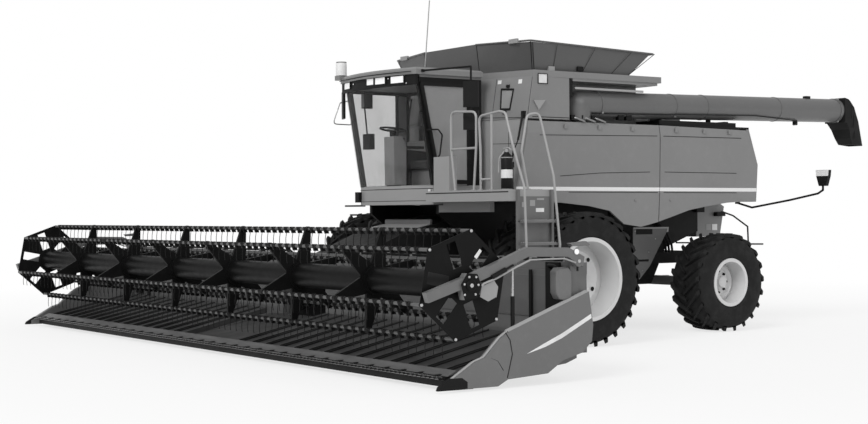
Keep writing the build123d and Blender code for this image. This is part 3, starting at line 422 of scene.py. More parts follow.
floor_mesh = bpy.data.meshes.new("floor")
floor_mesh.from_pydata([(x * FLOOR_REACH, y * FLOOR_REACH, 0) for x, y in (
    (-1, -1), (1, -1), (1, 1), (-1, 1))], [], [(0, 1, 2, 3)])
floor = link(bpy.data.objects.new("floor", floor_mesh))
ground = Finish("floor_paint")
spot = ground.node("ShaderNodeVectorMath", {"operation": "LENGTH"}, {0: ground.place()}, "Value")
far = ground.ramp(spot * (1 / DISTANCE_UNIT), (0.25, 0.0), (0.6, 1.0))
rays = ground.node("ShaderNodeLightPath")
seen = Sum(ground, rays.socket.node.outputs["Is Camera Ray"])
glossy = Sum(ground, rays.socket.node.outputs["Is Glossy Ray"])
white = ground.node("ShaderNodeEmission", inputs={"Color": (1, 1, 1, 1), "Strength": 1.0})
ground.set(Base_Color=(0.9, 0.9, 0.9, 1), Roughness=0.9)
mixer = ground.node("ShaderNodeMixShader", inputs={
    0: (seen * 0.72 + glossy * 0.3) + far * seen * 0.28,
    1: Sum(ground, ground.surface.outputs[0]), 2: white})
ground.tree.links.new(mixer.socket, ground.tree.nodes["Material Output"].inputs["Surface"])
floor_mesh.materials.append(ground.material)

world = bpy.data.worlds.new("daylight")
bpy.context.scene.world = world
world.use_nodes = True
sky = world.node_tree
back = sky.nodes["Background"]
path = sky.nodes.new("ShaderNodeLightPath")
either = sky.nodes.new("ShaderNodeMath")
either.operation = "MAXIMUM"
sky.links.new(path.outputs["Is Camera Ray"], either.inputs[0])
sky.links.new(path.outputs["Is Transmission Ray"], either.inputs[1])
level = sky.nodes.new("ShaderNodeMapRange")
level.inputs["To Min"].default_value = 0.55
level.inputs["To Max"].default_value = 1.0
sky.links.new(either.outputs[0], level.inputs["Value"])
sky.links.new(level.outputs[0], back.inputs["Strength"])
back.inputs["Color"].default_value = (1, 1, 1, 1)

SUNS = (  # name, direction the light travels, strength, softness in degrees
    ("key", (-0.30, 0.75, -0.60), 1.5, 25),
    ("side", (-0.90, 0.10, -0.45), 0.55, 40),
)
for sun_name, travel, strength, softness in SUNS:
    sun = bpy.data.lights.new(sun_name, "SUN")
    sun.energy = strength
    sun.angle = math.radians(softness)
    lamp = link(bpy.data.objects.new(sun_name, sun))
    lamp.rotation_euler = Vector(travel).to_track_quat("-Z", "Y").to_euler()
print("lights", len(SUNS))

# %% [markdown]
# A steel tube is bent cold round a former, so its corners are arcs and never sharp. Two small
# functions turn a route with sharp corners into one with rounded ones.

# %% Corners of bent tubes
def arc_corner(before, corner, after, bend, steps):
    """Points of the rounded corner of a bent tube."""
    into, out = (corner - before), (after - corner)
    turn = into.angle(out)
    if turn < 0.02:
        return [corner]
    cut = min(bend * math.tan(turn / 2), into.length * 0.48, out.length * 0.48)
    start, stop = corner - into.normalized() * cut, corner + out.normalized() * cut
    points = []
    for k in range(steps + 1):
        t = k / steps
        points.append((1 - t) ** 2 * start + 2 * t * (1 - t) * corner + t * t * stop)
    return points


def rounded(points, bend, steps=5):
    """A route with each corner rounded."""
    points = [Vector(p) for p in points]
    route = [points[0]]
    for before, corner, after in zip(points, points[1:], points[2:]):
        route += arc_corner(before, corner, after, bend, steps)
    return route + [points[-1]]


# %% [markdown]
# Every added piece starts as a bag of faces in metres, with Y measured from the front axle. The
# simplest shapes are given by their corners: a bar, a prism from a flat outline, or a thin slab on
# a face that leans or bows. A cube could be added and scaled, but then its size isn't readable.

# %% Shapes from corners
class Corners:
    """Faces of one piece, gathered before it becomes an object."""

    def __init__(self):
        self.bm = bmesh.new()

    def faces(self, points, faces):
        made = [self.bm.verts.new(p) for p in points]
        for face in faces:
            self.bm.faces.new([made[i] for i in face])
        return self

    def hexa(self, corners):
        """Solid with eight corners: four below, then the four above them."""
        return self.faces(corners, [(3, 2, 1, 0), (4, 5, 6, 7), (0, 1, 5, 4), (1, 2, 6, 5),
                                    (2, 3, 7, 6), (3, 0, 4, 7)])

    def bar(self, low, high):
        (x0, y0, z0), (x1, y1, z1) = low, high
        return self.hexa([(x0, y0, z0), (x1, y0, z0), (x1, y1, z0), (x0, y1, z0),
                          (x0, y0, z1), (x1, y0, z1), (x1, y1, z1), (x0, y1, z1)])

    def prism(self, outline, shift):
        """Closed flat outline pushed along a vector."""
        n, shift = len(outline), Vector(shift)
        points = [Vector(p) for p in outline]
        points += [p + shift for p in points]
        sides = [(i, (i + 1) % n, (i + 1) % n + n, i + n) for i in range(n)]
        return self.faces(points, [tuple(reversed(range(n))), tuple(range(n, 2 * n))] + sides)

    def side_prism(self, x, outline, thick):
        """Prism from a (y, z) outline at X, pushed along X."""
        return self.prism([(x, y, z) for y, z in outline], (thick, 0, 0))

    def slab(self, surface, across, heights, depths):
        """Thin block on a surface(x, z, out), from pairs of x, of z and of out."""
        (x0, x1), (inner, outer) = across, depths
        return self.hexa([surface(x, z, out) for z in heights for x, out in (
            (x0, inner), (x1, inner), (x1, outer), (x0, outer))])


# %% [markdown]
# A pipe or a handrail is one section carried along a route. The section is set square to the route
# at each point, and stretched a little where the route turns, so that the tube keeps its width.

# %% Shapes along a route
class Routes(Corners):
    """Adds swept sections and tubes."""

    def sweep(self, route, section, closed=False, twist_up=None):
        """Section ((across, up) points) carried along a route with mitred corners."""
        route = [Vector(p) for p in route]
        count = len(section)
        rings = []
        up = Vector(twist_up) if twist_up else None
        for i, point in enumerate(route):
            before = route[i - 1] if i or closed else point
            after = route[(i + 1) % len(route)] if i < len(route) - 1 or closed else point
            into = (point - before).normalized() if before != point else None
            out = (after - point).normalized() if after != point else None
            along = ((into or out) + (out or into)).normalized()
            if up is None:
                up = Vector((0, 0, 1)) if abs(along.z) < 0.9 else Vector((0, 1, 0))
            side = along.cross(up).normalized()
            up = side.cross(along).normalized()
            stretch = 1.0
            if into and out:
                stretch = 1 / max(0.4, into.dot(along))
            bend = ((out or along) - (into or along))
            rings.append([])
            for a, b in section:
                offset = side * a + up * b
                if stretch > 1.001 and bend.length > 1e-6:
                    axis = bend.normalized()
                    offset += axis * offset.dot(axis) * (stretch - 1)
                rings[-1].append(self.bm.verts.new(point + offset))
            if twist_up:
                up = Vector(twist_up)
        pairs = list(zip(rings, rings[1:])) + ([(rings[-1], rings[0])] if closed else [])
        for near, far_ring in pairs:
            for j in range(count):
                k = (j + 1) % count
                self.bm.faces.new((near[j], near[k], far_ring[k], far_ring[j]))
        if not closed:
            self.bm.faces.new(list(reversed(rings[0])))
            self.bm.faces.new(rings[-1])
        return self

    def tube(self, points, radius, bend=0.0, sides=10):
        """Round tube through points, with its corners bent to a radius."""
        section = [(radius * math.cos(2 * math.pi * k / sides),
                    radius * math.sin(2 * math.pi * k / sides)) for k in range(sides)]
        route = rounded(points, bend) if bend else points
        return self.sweep(route, section)


# %% [markdown]
# Wheels, caps, bolts and flanges are turned on a lathe: a profile goes once round an axis. A point
# of the profile on the axis becomes one corner, which closes the shape.

# %% Turned shapes
class Turnings(Routes):
    """Adds turned shapes and short round bars."""

    def turned(self, profile, centre, axis=(1, 0, 0), steps=48, closed=False):
        """Profile ((along, radius) points) turned about an axis through a centre."""
        axis, centre = Vector(axis).normalized(), Vector(centre)
        start = axis.orthogonal().normalized()
        if abs(axis.x) > 0.99:
            start = Vector((0, 0, 1))
        other = axis.cross(start)
        rings = []
        for along, radius in profile:
            if radius < 1e-6:
                rings.append([self.bm.verts.new(centre + axis * along)])
                continue
            rings.append([self.bm.verts.new(
                centre + axis * along
                + (start * math.cos(2 * math.pi * k / steps)
                   + other * math.sin(2 * math.pi * k / steps)) * radius)
                for k in range(steps)])
        pairs = list(zip(rings, rings[1:])) + ([(rings[-1], rings[0])] if closed else [])
        for a, b in pairs:
            for k in range(steps):
                m = (k + 1) % steps
                face = [a[k % len(a)], a[m % len(a)], b[m % len(b)], b[k % len(b)]]
                unique = [v for i, v in enumerate(face) if v not in face[:i]]
                if len(unique) > 2:
                    self.bm.faces.new(unique)
        return self

    def disc(self, radius, start, stop, edge=0.0, steps=24):
        """Short round bar between two places, with chamfered ends."""
        start, stop = Vector(start), Vector(stop)
        length = (stop - start).length
        profile = [(0, 0), (0, radius - edge), (edge, radius), (length - edge, radius),
                   (length, radius - edge), (length, 0)]
        if not edge:
            profile = [(0, 0), (0, radius), (length, radius), (length, 0)]
        return self.turned(profile, start, stop - start, steps)


# %% [markdown]
# `Build` has all of these shapes and can also take copies of a repeated mesh. `done` moves it to
# its place, turns its faces outwards and makes an object that rides on a body. `dress` does that
# for a row of pieces, on one side of the machine or on both.

# %% The Build class
class Build(Turnings):
    """One piece, from its first face to the finished object."""

    def add(self, mesh, mirror_x=False):
        """Copies of a finished mesh, such as the result of `repeat`."""
        copy = bmesh.new()
        copy.from_mesh(mesh)
        if mirror_x:
            bmesh.ops.scale(copy, vec=(-1, 1, 1), verts=copy.verts)
            bmesh.ops.reverse_faces(copy, faces=copy.faces)
        scratch = bpy.data.meshes.new("scratch")
        copy.to_mesh(scratch)
        copy.free()
        self.bm.from_mesh(scratch)
        bpy.data.meshes.remove(scratch)
        return self

    def mirrored(self):
        """Adds the same faces on the machine's other side."""
        bmesh.ops.mirror(self.bm, geom=self.bm.verts[:] + self.bm.edges[:] + self.bm.faces[:],
                         matrix=Matrix.Identity(4), merge_dist=-1, axis="X")
        return self

    def mesh(self, name, outward=True):
        """The plain mesh, without an object."""
        if outward:
            bmesh.ops.recalc_face_normals(self.bm, faces=self.bm.faces)
        made = bpy.data.meshes.new(name)
        self.bm.to_mesh(made)
        self.bm.free()
        return made

    def done(self, name, finish, body, round_edge=0.0, smooth=35, replaces=(), outward=True):
        """Object on its body. round_edge bevels its sharp edges by that much."""
        made = link(bpy.data.objects.new(name, self.mesh(name, outward)))
        made.data.transform(Matrix.Translation((0, AXLE_Y, 0)))
        made.data.materials.clear()
        made.data.materials.append(FINISHES[finish])
        if smooth:
            made.data.polygons.foreach_set("use_smooth", [True] * len(made.data.polygons))
            made.data.set_sharp_from_angle(angle=math.radians(smooth))
        if round_edge:
            bevel = made.modifiers.new("round edges", "BEVEL")
            bevel.width, bevel.segments = round_edge, 2
            bevel.limit_method, bevel.angle_limit = "ANGLE", math.radians(50)
            bevel.harden_normals = True
        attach(made, body)
        if replaces:
            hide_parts(*replaces)
        return made


def dress(body, rows, both_sides=False):
    """Finishes pieces of one body; a row is a build, its name, its finish and its bevel."""
    for build, name, finish, bevel in rows:
        if both_sides:
            build.mirrored()
        build.done(name, finish, body, bevel)


# %% [markdown]
# A harvester repeats small things by the hundred: lugs, nuts, tines, slats, guards. One Geometry
# Nodes tree serves them all. It sets out `Count` points, each a `Step` further and a `Turn` more
# about `Centre`, and puts a copy of a shape on each, turned with it. The result becomes a plain
# mesh.

# %% The repeat tree
def make_repeat_tree():
    tree = bpy.data.node_groups.new("repeat", "GeometryNodeTree")
    sockets = {}
    for name, kind in (("Shape", "NodeSocketObject"), ("Count", "NodeSocketInt"),
                       ("Start", "NodeSocketVector"), ("Step", "NodeSocketVector"),
                       ("Centre", "NodeSocketVector"), ("Turn", "NodeSocketVector"),
                       ("Finish", "NodeSocketMaterial")):
        sockets[name] = tree.interface.new_socket(name, in_out="INPUT", socket_type=kind).identifier
    tree.interface.new_socket("Geometry", in_out="OUTPUT", socket_type="NodeSocketGeometry")

    def add(kind, settings=None, **links):
        made = tree.nodes.new(kind)
        for key, value in (settings or {}).items():
            setattr(made, key, value)
        for key, source in links.items():
            tree.links.new(source, made.inputs[key.replace("_", " ")])
        return made

    given = add("NodeGroupInput").outputs
    index = add("GeometryNodeInputIndex").outputs[0]
    moved = add("ShaderNodeVectorMath", {"operation": "SCALE"}, Scale=index)
    tree.links.new(given["Step"], moved.inputs[0])
    placed = add("ShaderNodeVectorMath", {"operation": "ADD"})
    tree.links.new(given["Start"], placed.inputs[0])
    tree.links.new(moved.outputs[0], placed.inputs[1])
    angle = add("ShaderNodeVectorMath", {"operation": "SCALE"}, Scale=index)
    tree.links.new(given["Turn"], angle.inputs[0])
    turned = add("ShaderNodeVectorRotate", {"rotation_type": "EULER_XYZ"},
                 Vector=placed.outputs[0], Center=given["Centre"], Rotation=angle.outputs[0])
    points = add("GeometryNodePoints", Count=given["Count"], Position=turned.outputs[0])
    shape = add("GeometryNodeObjectInfo", Object=given["Shape"])
    copies = add("GeometryNodeInstanceOnPoints", Points=points.outputs[0],
                 Instance=shape.outputs["Geometry"], Rotation=angle.outputs[0])
    real = add("GeometryNodeRealizeInstances", Geometry=copies.outputs[0])
    painted = add("GeometryNodeSetMaterial", Geometry=real.outputs[0], Material=given["Finish"])
    add("NodeGroupOutput", Geometry=painted.outputs[0])
    return tree, sockets


REPEAT_TREE, REPEAT_SOCKETS = make_repeat_tree()


def repeat(shape_mesh, count, start=(0, 0, 0), step=(0, 0, 0), centre=(0, 0, 0), turn=(0, 0, 0),
           finish="frame_black"):
    """Plain mesh with count copies of a small mesh that is drawn round its own origin."""
    shape = link(bpy.data.objects.new("shape", shape_mesh))
    host = link(bpy.data.objects.new("host", bpy.data.meshes.new("host")))
    modifier = host.modifiers.new("repeat", "NODES")
    modifier.node_group = REPEAT_TREE
    for name, value in (("Shape", shape), ("Count", count), ("Finish", FINISHES[finish])):
        modifier[REPEAT_SOCKETS[name]] = value
    for name, value in (("Start", start), ("Step", step), ("Centre", centre), ("Turn", turn)):
        modifier[REPEAT_SOCKETS[name]] = list(value)
    view_graph = bpy.context.evaluated_depsgraph_get()
    result = bpy.data.meshes.new_from_object(host.evaluated_get(view_graph))
    bpy.data.objects.remove(host)
    bpy.data.objects.remove(shape)
    return result


# %% [markdown]
# A farm tyre is a smooth bulging carcass with tall slanting lugs. The carcass is one outline turned
# about the axle. A lug is a bar that starts at the middle, sweeps back as it goes out and folds
# over the shoulder. Left and right lugs are half a pitch apart, with the open V pointing forwards
# where the tread meets the ground in front.

# %% The tyres
def lug_mesh(radius, half, height, sweep, thick):
    """One lug on the wheel's left half, drawn about the axle's centre and pointing down."""
    stations = (  # part of the half width, top height, angle, thickness
        (-0.04, 1.0, 0.00, 0.62), (0.22, 1.0, 0.20, 0.72), (0.48, 1.0, 0.45, 0.88),
        (0.74, 1.0, 0.72, 1.05), (0.95, 0.97, 0.95, 1.15), (1.0, 0.55, 1.0, 1.0),
        (1.0, -0.9, 1.03, 0.6))
    build = Build()
    rings = []
    for part, top, turn_part, wide in stations:
        x, a = part * half, sweep * turn_part
        base = radius - height - 0.012 if top >= 0.5 else radius - height * 1.9
        high = radius - height * (1 - top)
        low_width, top_width = thick * wide * 1.5 / radius, thick * wide / radius
        ring = []
        for r, w in ((base, -low_width), (high, -top_width), (high, top_width),
                     (base, low_width)):
            angle = a + w / 2
            ring.append(build.bm.verts.new((x, -r * math.sin(angle), -r * math.cos(angle))))
        rings.append(ring)
    for a, b in zip(rings, rings[1:]):
        for j in range(4):
            k = (j + 1) % 4
            build.bm.faces.new((a[j], a[k], b[k], b[j]))
    build.bm.faces.new(rings[0])
    build.bm.faces.new(list(reversed(rings[-1])))
    return build.mesh("lug")


LUG_SWEEP, LUG_THICK = 7.2, 0.032


def tyre(name, node, body, middles, radius, rim_radius, width, lugs, height, tread, finish):
    """Carcass and lugs of the tyres at the given middles, all in one piece."""
    centre = centre_of(node)
    half = width / 2
    floor_r = radius - height
    side = rim_radius + (floor_r - rim_radius) * 0.52
    profile = [  # half the carcass, from its bead out to the middle of the tread
        (half * 0.80, rim_radius - 0.004), (half * 0.86, rim_radius + 0.02),
        (half * 0.93, rim_radius + 0.05), (half * 0.985, side - 0.05), (half * 0.995, side),
        (half * 0.985, side + 0.05), (half * 0.94, floor_r - 0.05), (half * 0.88, floor_r - 0.018),
        (half * 0.75, floor_r - 0.004), (half * 0.4, floor_r + 0.002)]
    whole = profile + [(0, floor_r + 0.003)] + [(-x, r) for x, r in reversed(profile)]
    pitch = 2 * math.pi / lugs
    build = Build()
    for middle in middles:
        hub = Vector((middle, centre.y - AXLE_Y, centre.z))
        build.turned(whole, hub, steps=96, closed=True)
        for sign in (1, -1):
            shape = lug_mesh(radius, half * tread * sign, height, LUG_SWEEP / lugs,
                             0.5 * radius / lugs + LUG_THICK)
            first = pitch / 2 if sign > 0 else 0
            ring = repeat(shape, lugs, turn=(pitch, 0, 0), finish=finish)
            ring.transform(Matrix.Translation(hub) @ Matrix.Rotation(first, 4, "X"))
            build.add(ring)
    return build.done(name, finish, body, smooth=40, replaces=(node,))


FRONT_TYRE = dict(radius=0.909, rim_radius=0.545, width=0.467, lugs=29, height=0.044, tread=0.95)
REAR_TYRE = dict(radius=0.741, rim_radius=0.345, width=0.600, lugs=21, height=0.048, tread=0.90)
DUALS = (1.667, 2.493)
for side_name, side in (("left", 1), ("right", -1)):
    tyre(f"tyres_front_{side_name}", f"front_tyres_{side_name}", f"front_wheels_{side_name}",
         [side * x for x in DUALS], finish="front_rubber", **FRONT_TYRE)
    tyre(f"tyre_rear_{side_name}", f"rear_tyre_{side_name}", f"rear_wheel_{side_name}",
         [side * REAR_AXLE.x], finish="rear_rubber", **REAR_TYRE)
print("tyres dressed")

# %% [markdown]
# Every wheel disc carries a ring of nuts, hand holes and a bolted hub cap. They sit in rings about
# the axle, so each ring is one small shape, repeated and turned.

# %% Wheel nuts, hand holes and hub caps
def nut_mesh(radius, height, sides=6, side=1):
    """Nut, stud or plug that stands out along X."""
    profile = [(0, 0), (0, radius), (height * 0.75, radius), (height, radius * 0.8), (height, 0)]
    return Build().turned(profile, (0, 0, 0), (side, 0, 0), steps=sides).mesh("nut")


def ring(shape, count, place, radius, finish, first=0.0):
    """Copies of a small mesh set round an axis along X."""
    made = repeat(shape, count, start=(0, 0, radius), turn=(2 * math.pi / count, 0, 0),
                  finish=finish)
    made.transform(Matrix.Translation(place) @ Matrix.Rotation(first, 4, "X"))
    return made


def lip(build, x, radius, hub, side, wide=0.018, high=0.008):
    """Low rounded ring inside a rim's barrel."""
    profile = [(-wide / 2, radius), (-wide / 4, radius - high), (wide / 4, radius - high),
               (wide / 2, radius), (0, radius + 0.004)]
    build.turned(profile, (side * x, hub.y, hub.z), steps=96, closed=True)


HUBS = {"front": Vector((0, 0, AXLE.z)), "rear": Vector((0, WHEELBASE, REAR_AXLE.z))}
for side_name, side in (("left", 1), ("right", -1)):
    front, rear = HUBS["front"], HUBS["rear"]
    body, rear_body = f"front_wheels_{side_name}", f"rear_wheel_{side_name}"
    nuts = Build()
    nuts.add(ring(nut_mesh(0.021, 0.030, side=side), 10, (side * 2.350, 0, front.z), 0.198,
                  "worn_steel"))
    nuts.add(ring(nut_mesh(0.010, 0.012, side=side), 8, (side * 2.440, 0, front.z), 0.070,
                  "worn_steel", 0.2))
    nuts.done(f"wheel_nuts_front_{side_name}", "worn_steel", body)
    holes = Build()
    holes.add(ring(nut_mesh(0.030, 0.004, 16, side), 5, (side * 2.392, 0, front.z), 0.345,
                   "frame_black", 0.5))
    holes.hexa([(side * x, r * math.cos(math.radians(a)), front.z + r * math.sin(math.radians(a)))
                for r in (0.5290, 0.5235) for x, a in (
                    (2.412, 15.6), (2.530, 15.6), (2.530, 29.2), (2.412, 29.2))])
    holes.done(f"hand_holes_{side_name}", "frame_black", body)
    lips = Build()
    for x, radius in ((2.36, 0.528), (2.45, 0.531), (2.60, 0.531), (2.695, 0.532)):
        lip(lips, x, radius, front, side)
    lips.turned([(0, 0.150), (0.012, 0.150), (0.020, 0.135), (0.020, 0.100), (0.034, 0.092),
                 (0.046, 0.060), (0.046, 0)], (side * 2.398, 0, front.z), (side, 0, 0))
    lips.done(f"rim_lips_front_{side_name}", "rim_enamel", body, smooth=50)
    nuts = Build()
    nuts.add(ring(nut_mesh(0.019, 0.032, side=side), 8, (side * 1.740, WHEELBASE, rear.z), 0.160,
                  "frame_black"))
    nuts.done(f"wheel_nuts_rear_{side_name}", "frame_black", rear_body)
    lips = Build()
    for x, radius in ((1.80, 0.331), (1.89, 0.331), (1.985, 0.332)):
        lip(lips, x, radius, rear, side)
    lips.turned([(0, 0.112), (0.010, 0.112), (0.024, 0.088), (0.070, 0.080), (0.078, 0.060),
                 (0.078, 0)], (side * 1.768, WHEELBASE, rear.z), (side, 0, 0))
    lips.done(f"rim_lips_rear_{side_name}", "rim_enamel", rear_body, smooth=50)
print("wheel trim on", len(HUBS) * 2, "wheel groups")

# %% [markdown]
# The reel is the header's finest part. Each of its six bat tubes carries a comb of spring tines
# that hang straight down, each clamped over the tube. One tine and one clamp are drawn and then
# repeated along all six tubes.

# %% The reel's bats
REEL_Y, REEL_Z, REEL_R, REEL_PHASE = -4.354, 1.076, 0.560, 19.3
BAT_HALF, TINE_PITCH, TINES = 5.510, 0.150, 72
SPIDERS = (-3.952, -2.371, -0.790, 0.790, 2.371, 3.952)


def reel_point(degrees, radius=REEL_R):
    """(y, z) on the reel at an angle from straight back, towards up."""
    turn = math.radians(degrees)
    return REEL_Y + radius * math.cos(turn), REEL_Z + radius * math.sin(turn)


BATS = [reel_point(REEL_PHASE + 60 * k) for k in range(6)]


def tine_mesh():
    """Curved wire tine that hangs from the middle of its tube."""
    wire = Build()
    wire.tube([(0.006, 0, -0.012), (0.004, -0.004, -0.060), (0, -0.010, -0.110),
               (-0.002, -0.010, -0.160), (0, -0.004, -0.203)], 0.0042, sides=5)
    return wire.mesh("tine")


def clamp_mesh():
    """Slanting moulded clamp that grips a bat tube."""
    grip, half, z0, z1 = Build(), 0.027, -0.050, 0.028
    grip.hexa([(0.012, -half, z0), (0.034, -half, z0), (0.034, half, z0), (0.012, half, z0),
               (-0.034, -half, z1), (-0.006, -half, z1), (-0.006, half, z1), (-0.034, half, z1)])
    grip.turned([(-0.014, 0.018), (-0.014, 0.027), (0.014, 0.027), (0.014, 0.018)], (0.03, 0, 0),
                steps=12, closed=True)
    return grip.mesh("clamp")


tubes, tines, clamps, sockets = Build(), Build(), Build(), Build()
first_tine = -TINE_PITCH * (TINES - 1) / 2
for y, z in BATS:
    tubes.disc(0.020, (-BAT_HALF, y, z), (BAT_HALF, y, z), 0.003, steps=16)
    tines.add(repeat(tine_mesh(), TINES, (first_tine, y, z), (TINE_PITCH, 0, 0),
                     finish="black_plastic"))
    clamps.add(repeat(clamp_mesh(), TINES, (first_tine, y, z), (TINE_PITCH, 0, 0),
                      finish="black_plastic"))
    for x in SPIDERS:
        sockets.disc(0.033, (x - 0.032, y, z), (x + 0.032, y, z), 0.006, steps=16)
tubes.done("bat_tubes", "bat_enamel", "reel", replaces=("reel_bats",))
tines.done("bat_tines", "black_plastic", "reel")
clamps.done("tine_clamps", "black_plastic", "reel")
sockets.done("bat_sockets", "reel_black", "reel")

bolts, reflectors = Build(), Build()
for side in (1, -1):
    for y, z in BATS:
        bolts.disc(0.017, (side * 5.530, y, z), (side * 5.546, y, z), 0.004, steps=12)
    reflectors.side_prism(side * 5.5325, ((-4.213, 1.358), (-4.141, 1.439), (-4.115, 1.418),
                                          (-4.180, 1.337)), side * 0.004)
bolts.done("bat_end_bolts", "bright_steel", "reel")
reflectors.done("reel_reflectors", "plate_paint", "reel")
print("tines", TINES * 6)

# %% [markdown]
# A black casting bolted to the end of each reel arm carries the reel's shaft. A light steel pipe
# and a small cylinder, which turns the reel's height into a reading in the cab, run along the arm.

# %% Reel arm fittings
ARM_FACE = 5.655
HUB_PLATE = [(-4.480, 1.090), (-4.400, 1.200), (-4.270, 1.190), (-4.215, 1.060), (-4.270, 0.945),
             (-4.430, 0.930)]
castings, hub_bolts, arm_pipes, arm_cylinders, arm_sheets = (Build() for _ in range(5))
castings.side_prism(ARM_FACE, HUB_PLATE, 0.006)
castings.disc(0.062, (ARM_FACE, REEL_Y, REEL_Z), (5.676, REEL_Y, REEL_Z), 0.008)
for y, z in ((-4.440, 1.090), (-4.379, 1.162), (-4.437, 0.985), (-4.300, 0.985), (-4.262, 1.080),
             (-4.290, 1.160)):
    hub_bolts.disc(0.013, (5.660, y, z), (5.671, y, z), 0.003, steps=12)
hub_bolts.disc(0.022, (5.674, REEL_Y, REEL_Z), (5.683, REEL_Y, REEL_Z), 0.004, steps=16)
hub_bolts.disc(0.020, (5.638, -2.880, 1.290), (5.652, -2.880, 1.290), 0.004, steps=12)
arm_pipes.tube([(5.650, -4.240, 1.040), (5.650, -4.180, 1.090), (5.650, -4.024, 1.135),
                (5.650, -3.759, 1.245), (5.650, -3.560, 1.318)], 0.011, 0.05)
arm_pipes.tube([(5.652, -3.560, 1.318), (5.652, -3.10, 1.322), (5.652, -2.94, 1.275)],
               0.009, 0.05)
arm_cylinders.disc(0.024, (5.648, -4.075, 1.150), (5.648, -3.890, 1.228), 0.004, steps=16)
arm_cylinders.disc(0.011, (5.648, -3.895, 1.226), (5.648, -3.790, 1.268), steps=10)
arm_sheets.side_prism(5.641, ((-4.205, 1.060), (-4.040, 1.115), (-3.990, 1.050), (-4.010, 0.950),
                              (-4.120, 0.905), (-4.225, 0.955)), 0.004)
dress("reel_arms", (
    (castings, "reel_bearing_castings", "reel_black", 0),
    (hub_bolts, "reel_arm_bolts", "bright_steel", 0),
    (arm_pipes, "reel_arm_pipes", "rail_enamel", 0),
    (arm_cylinders, "reel_arm_cylinders", "frame_black", 0),
    (arm_sheets, "reel_arm_sheets", "pale_sheet", 0),
), both_sides=True)
print("reel arms fitted out")

# %% [markdown]
# The header's deck is a rubber belt with slats. In front of it lies the cutterbar: a crop guide
# plate, pointed guards every three inches, triangular knife sections between them and a hold-down
# clip every foot. All of these are rows along X.

# %% The cutterbar and the draper's slats
DECK = ((-4.500, 0.150), (-3.000, 0.480))     # (y, z) of the deck's front and rear edge
GUARD_PITCH, GUARDS = 0.0762, 144
guard, section, clip = Build(), Build(), Build()
guard.hexa([(-0.015, 0, -0.018), (0.015, 0, -0.018), (0.015, 0.105, -0.024),
            (-0.015, 0.105, -0.024), (-0.012, 0, 0.006), (0.012, 0, 0.006),
            (0.013, 0.105, 0.010), (-0.013, 0.105, 0.010)])
guard.hexa([(-0.003, -0.085, -0.004), (0.003, -0.085, -0.004), (0.015, 0, -0.018),
            (-0.015, 0, -0.018), (-0.002, -0.085, 0.002), (0.002, -0.085, 0.002),
            (0.012, 0, 0.006), (-0.012, 0, 0.006)])
section.prism([(-0.036, 0.050, 0), (0.036, 0.050, 0), (0.008, -0.045, 0), (-0.008, -0.045, 0)],
              (0, 0, 0.003))
clip.hexa([(-0.022, -0.040, 0), (0.022, -0.040, 0), (0.030, 0.060, 0), (-0.030, 0.060, 0),
           (-0.018, -0.036, 0.010), (0.018, -0.036, 0.010), (0.026, 0.060, 0.016),
           (-0.026, 0.060, 0.016)])
row = -GUARD_PITCH * (GUARDS - 1) / 2
guards, knife, clips = Build(), Build(), Build()
guards.add(repeat(guard.mesh("guard"), GUARDS, (row, -4.575, 0.132), (GUARD_PITCH, 0, 0),
                  finish="worn_steel"))
guards.done("knife_guards", "worn_steel", "header")
knife.add(repeat(section.mesh("section"), GUARDS - 1, (row + GUARD_PITCH / 2, -4.565, 0.143),
                 (GUARD_PITCH, 0, 0), finish="bright_steel"))
knife.done("knife_sections", "bright_steel", "header", smooth=0)
clips.add(repeat(clip.mesh("clip"), 36, (-5.334, -4.545, 0.148), (GUARD_PITCH * 4, 0, 0),
                 finish="frame_black"))
clips.done("knife_clips", "frame_black", "header")

guide = Build()
guide.hexa([(-5.480, -4.520, 0.148), (5.480, -4.520, 0.148), (5.480, -4.400, 0.172),
            (-5.480, -4.400, 0.172), (-5.480, -4.514, 0.155), (5.480, -4.514, 0.155),
            (5.480, -4.404, 0.206), (-5.480, -4.404, 0.206)])
guide.done("crop_guide", "guide_enamel", "header", 0.004)


def deck_height(y):
    """Height of the draper's upper run."""
    (y0, z0), (y1, z1) = DECK
    return z0 + (y - y0) * (z1 - z0) / (y1 - y0)


slats = Build()
for side in (1, -1):
    for k in range(14):
        x = side * (0.760 + (k + 0.5) * 4.710 / 14)
        front_y, back_y = -4.390, -3.030
        low, high = deck_height(front_y), deck_height(back_y)
        slats.hexa([(x - 0.011, front_y, low), (x + 0.011, front_y, low), (x + 0.011, back_y, high),
                    (x - 0.011, back_y, high), (x - 0.005, front_y, low + 0.037),
                    (x + 0.005, front_y, low + 0.037), (x + 0.005, back_y, high + 0.020),
                    (x - 0.005, back_y, high + 0.020)])
slats.done("draper_slats", "black_plastic", "header")
print("guards", GUARDS)
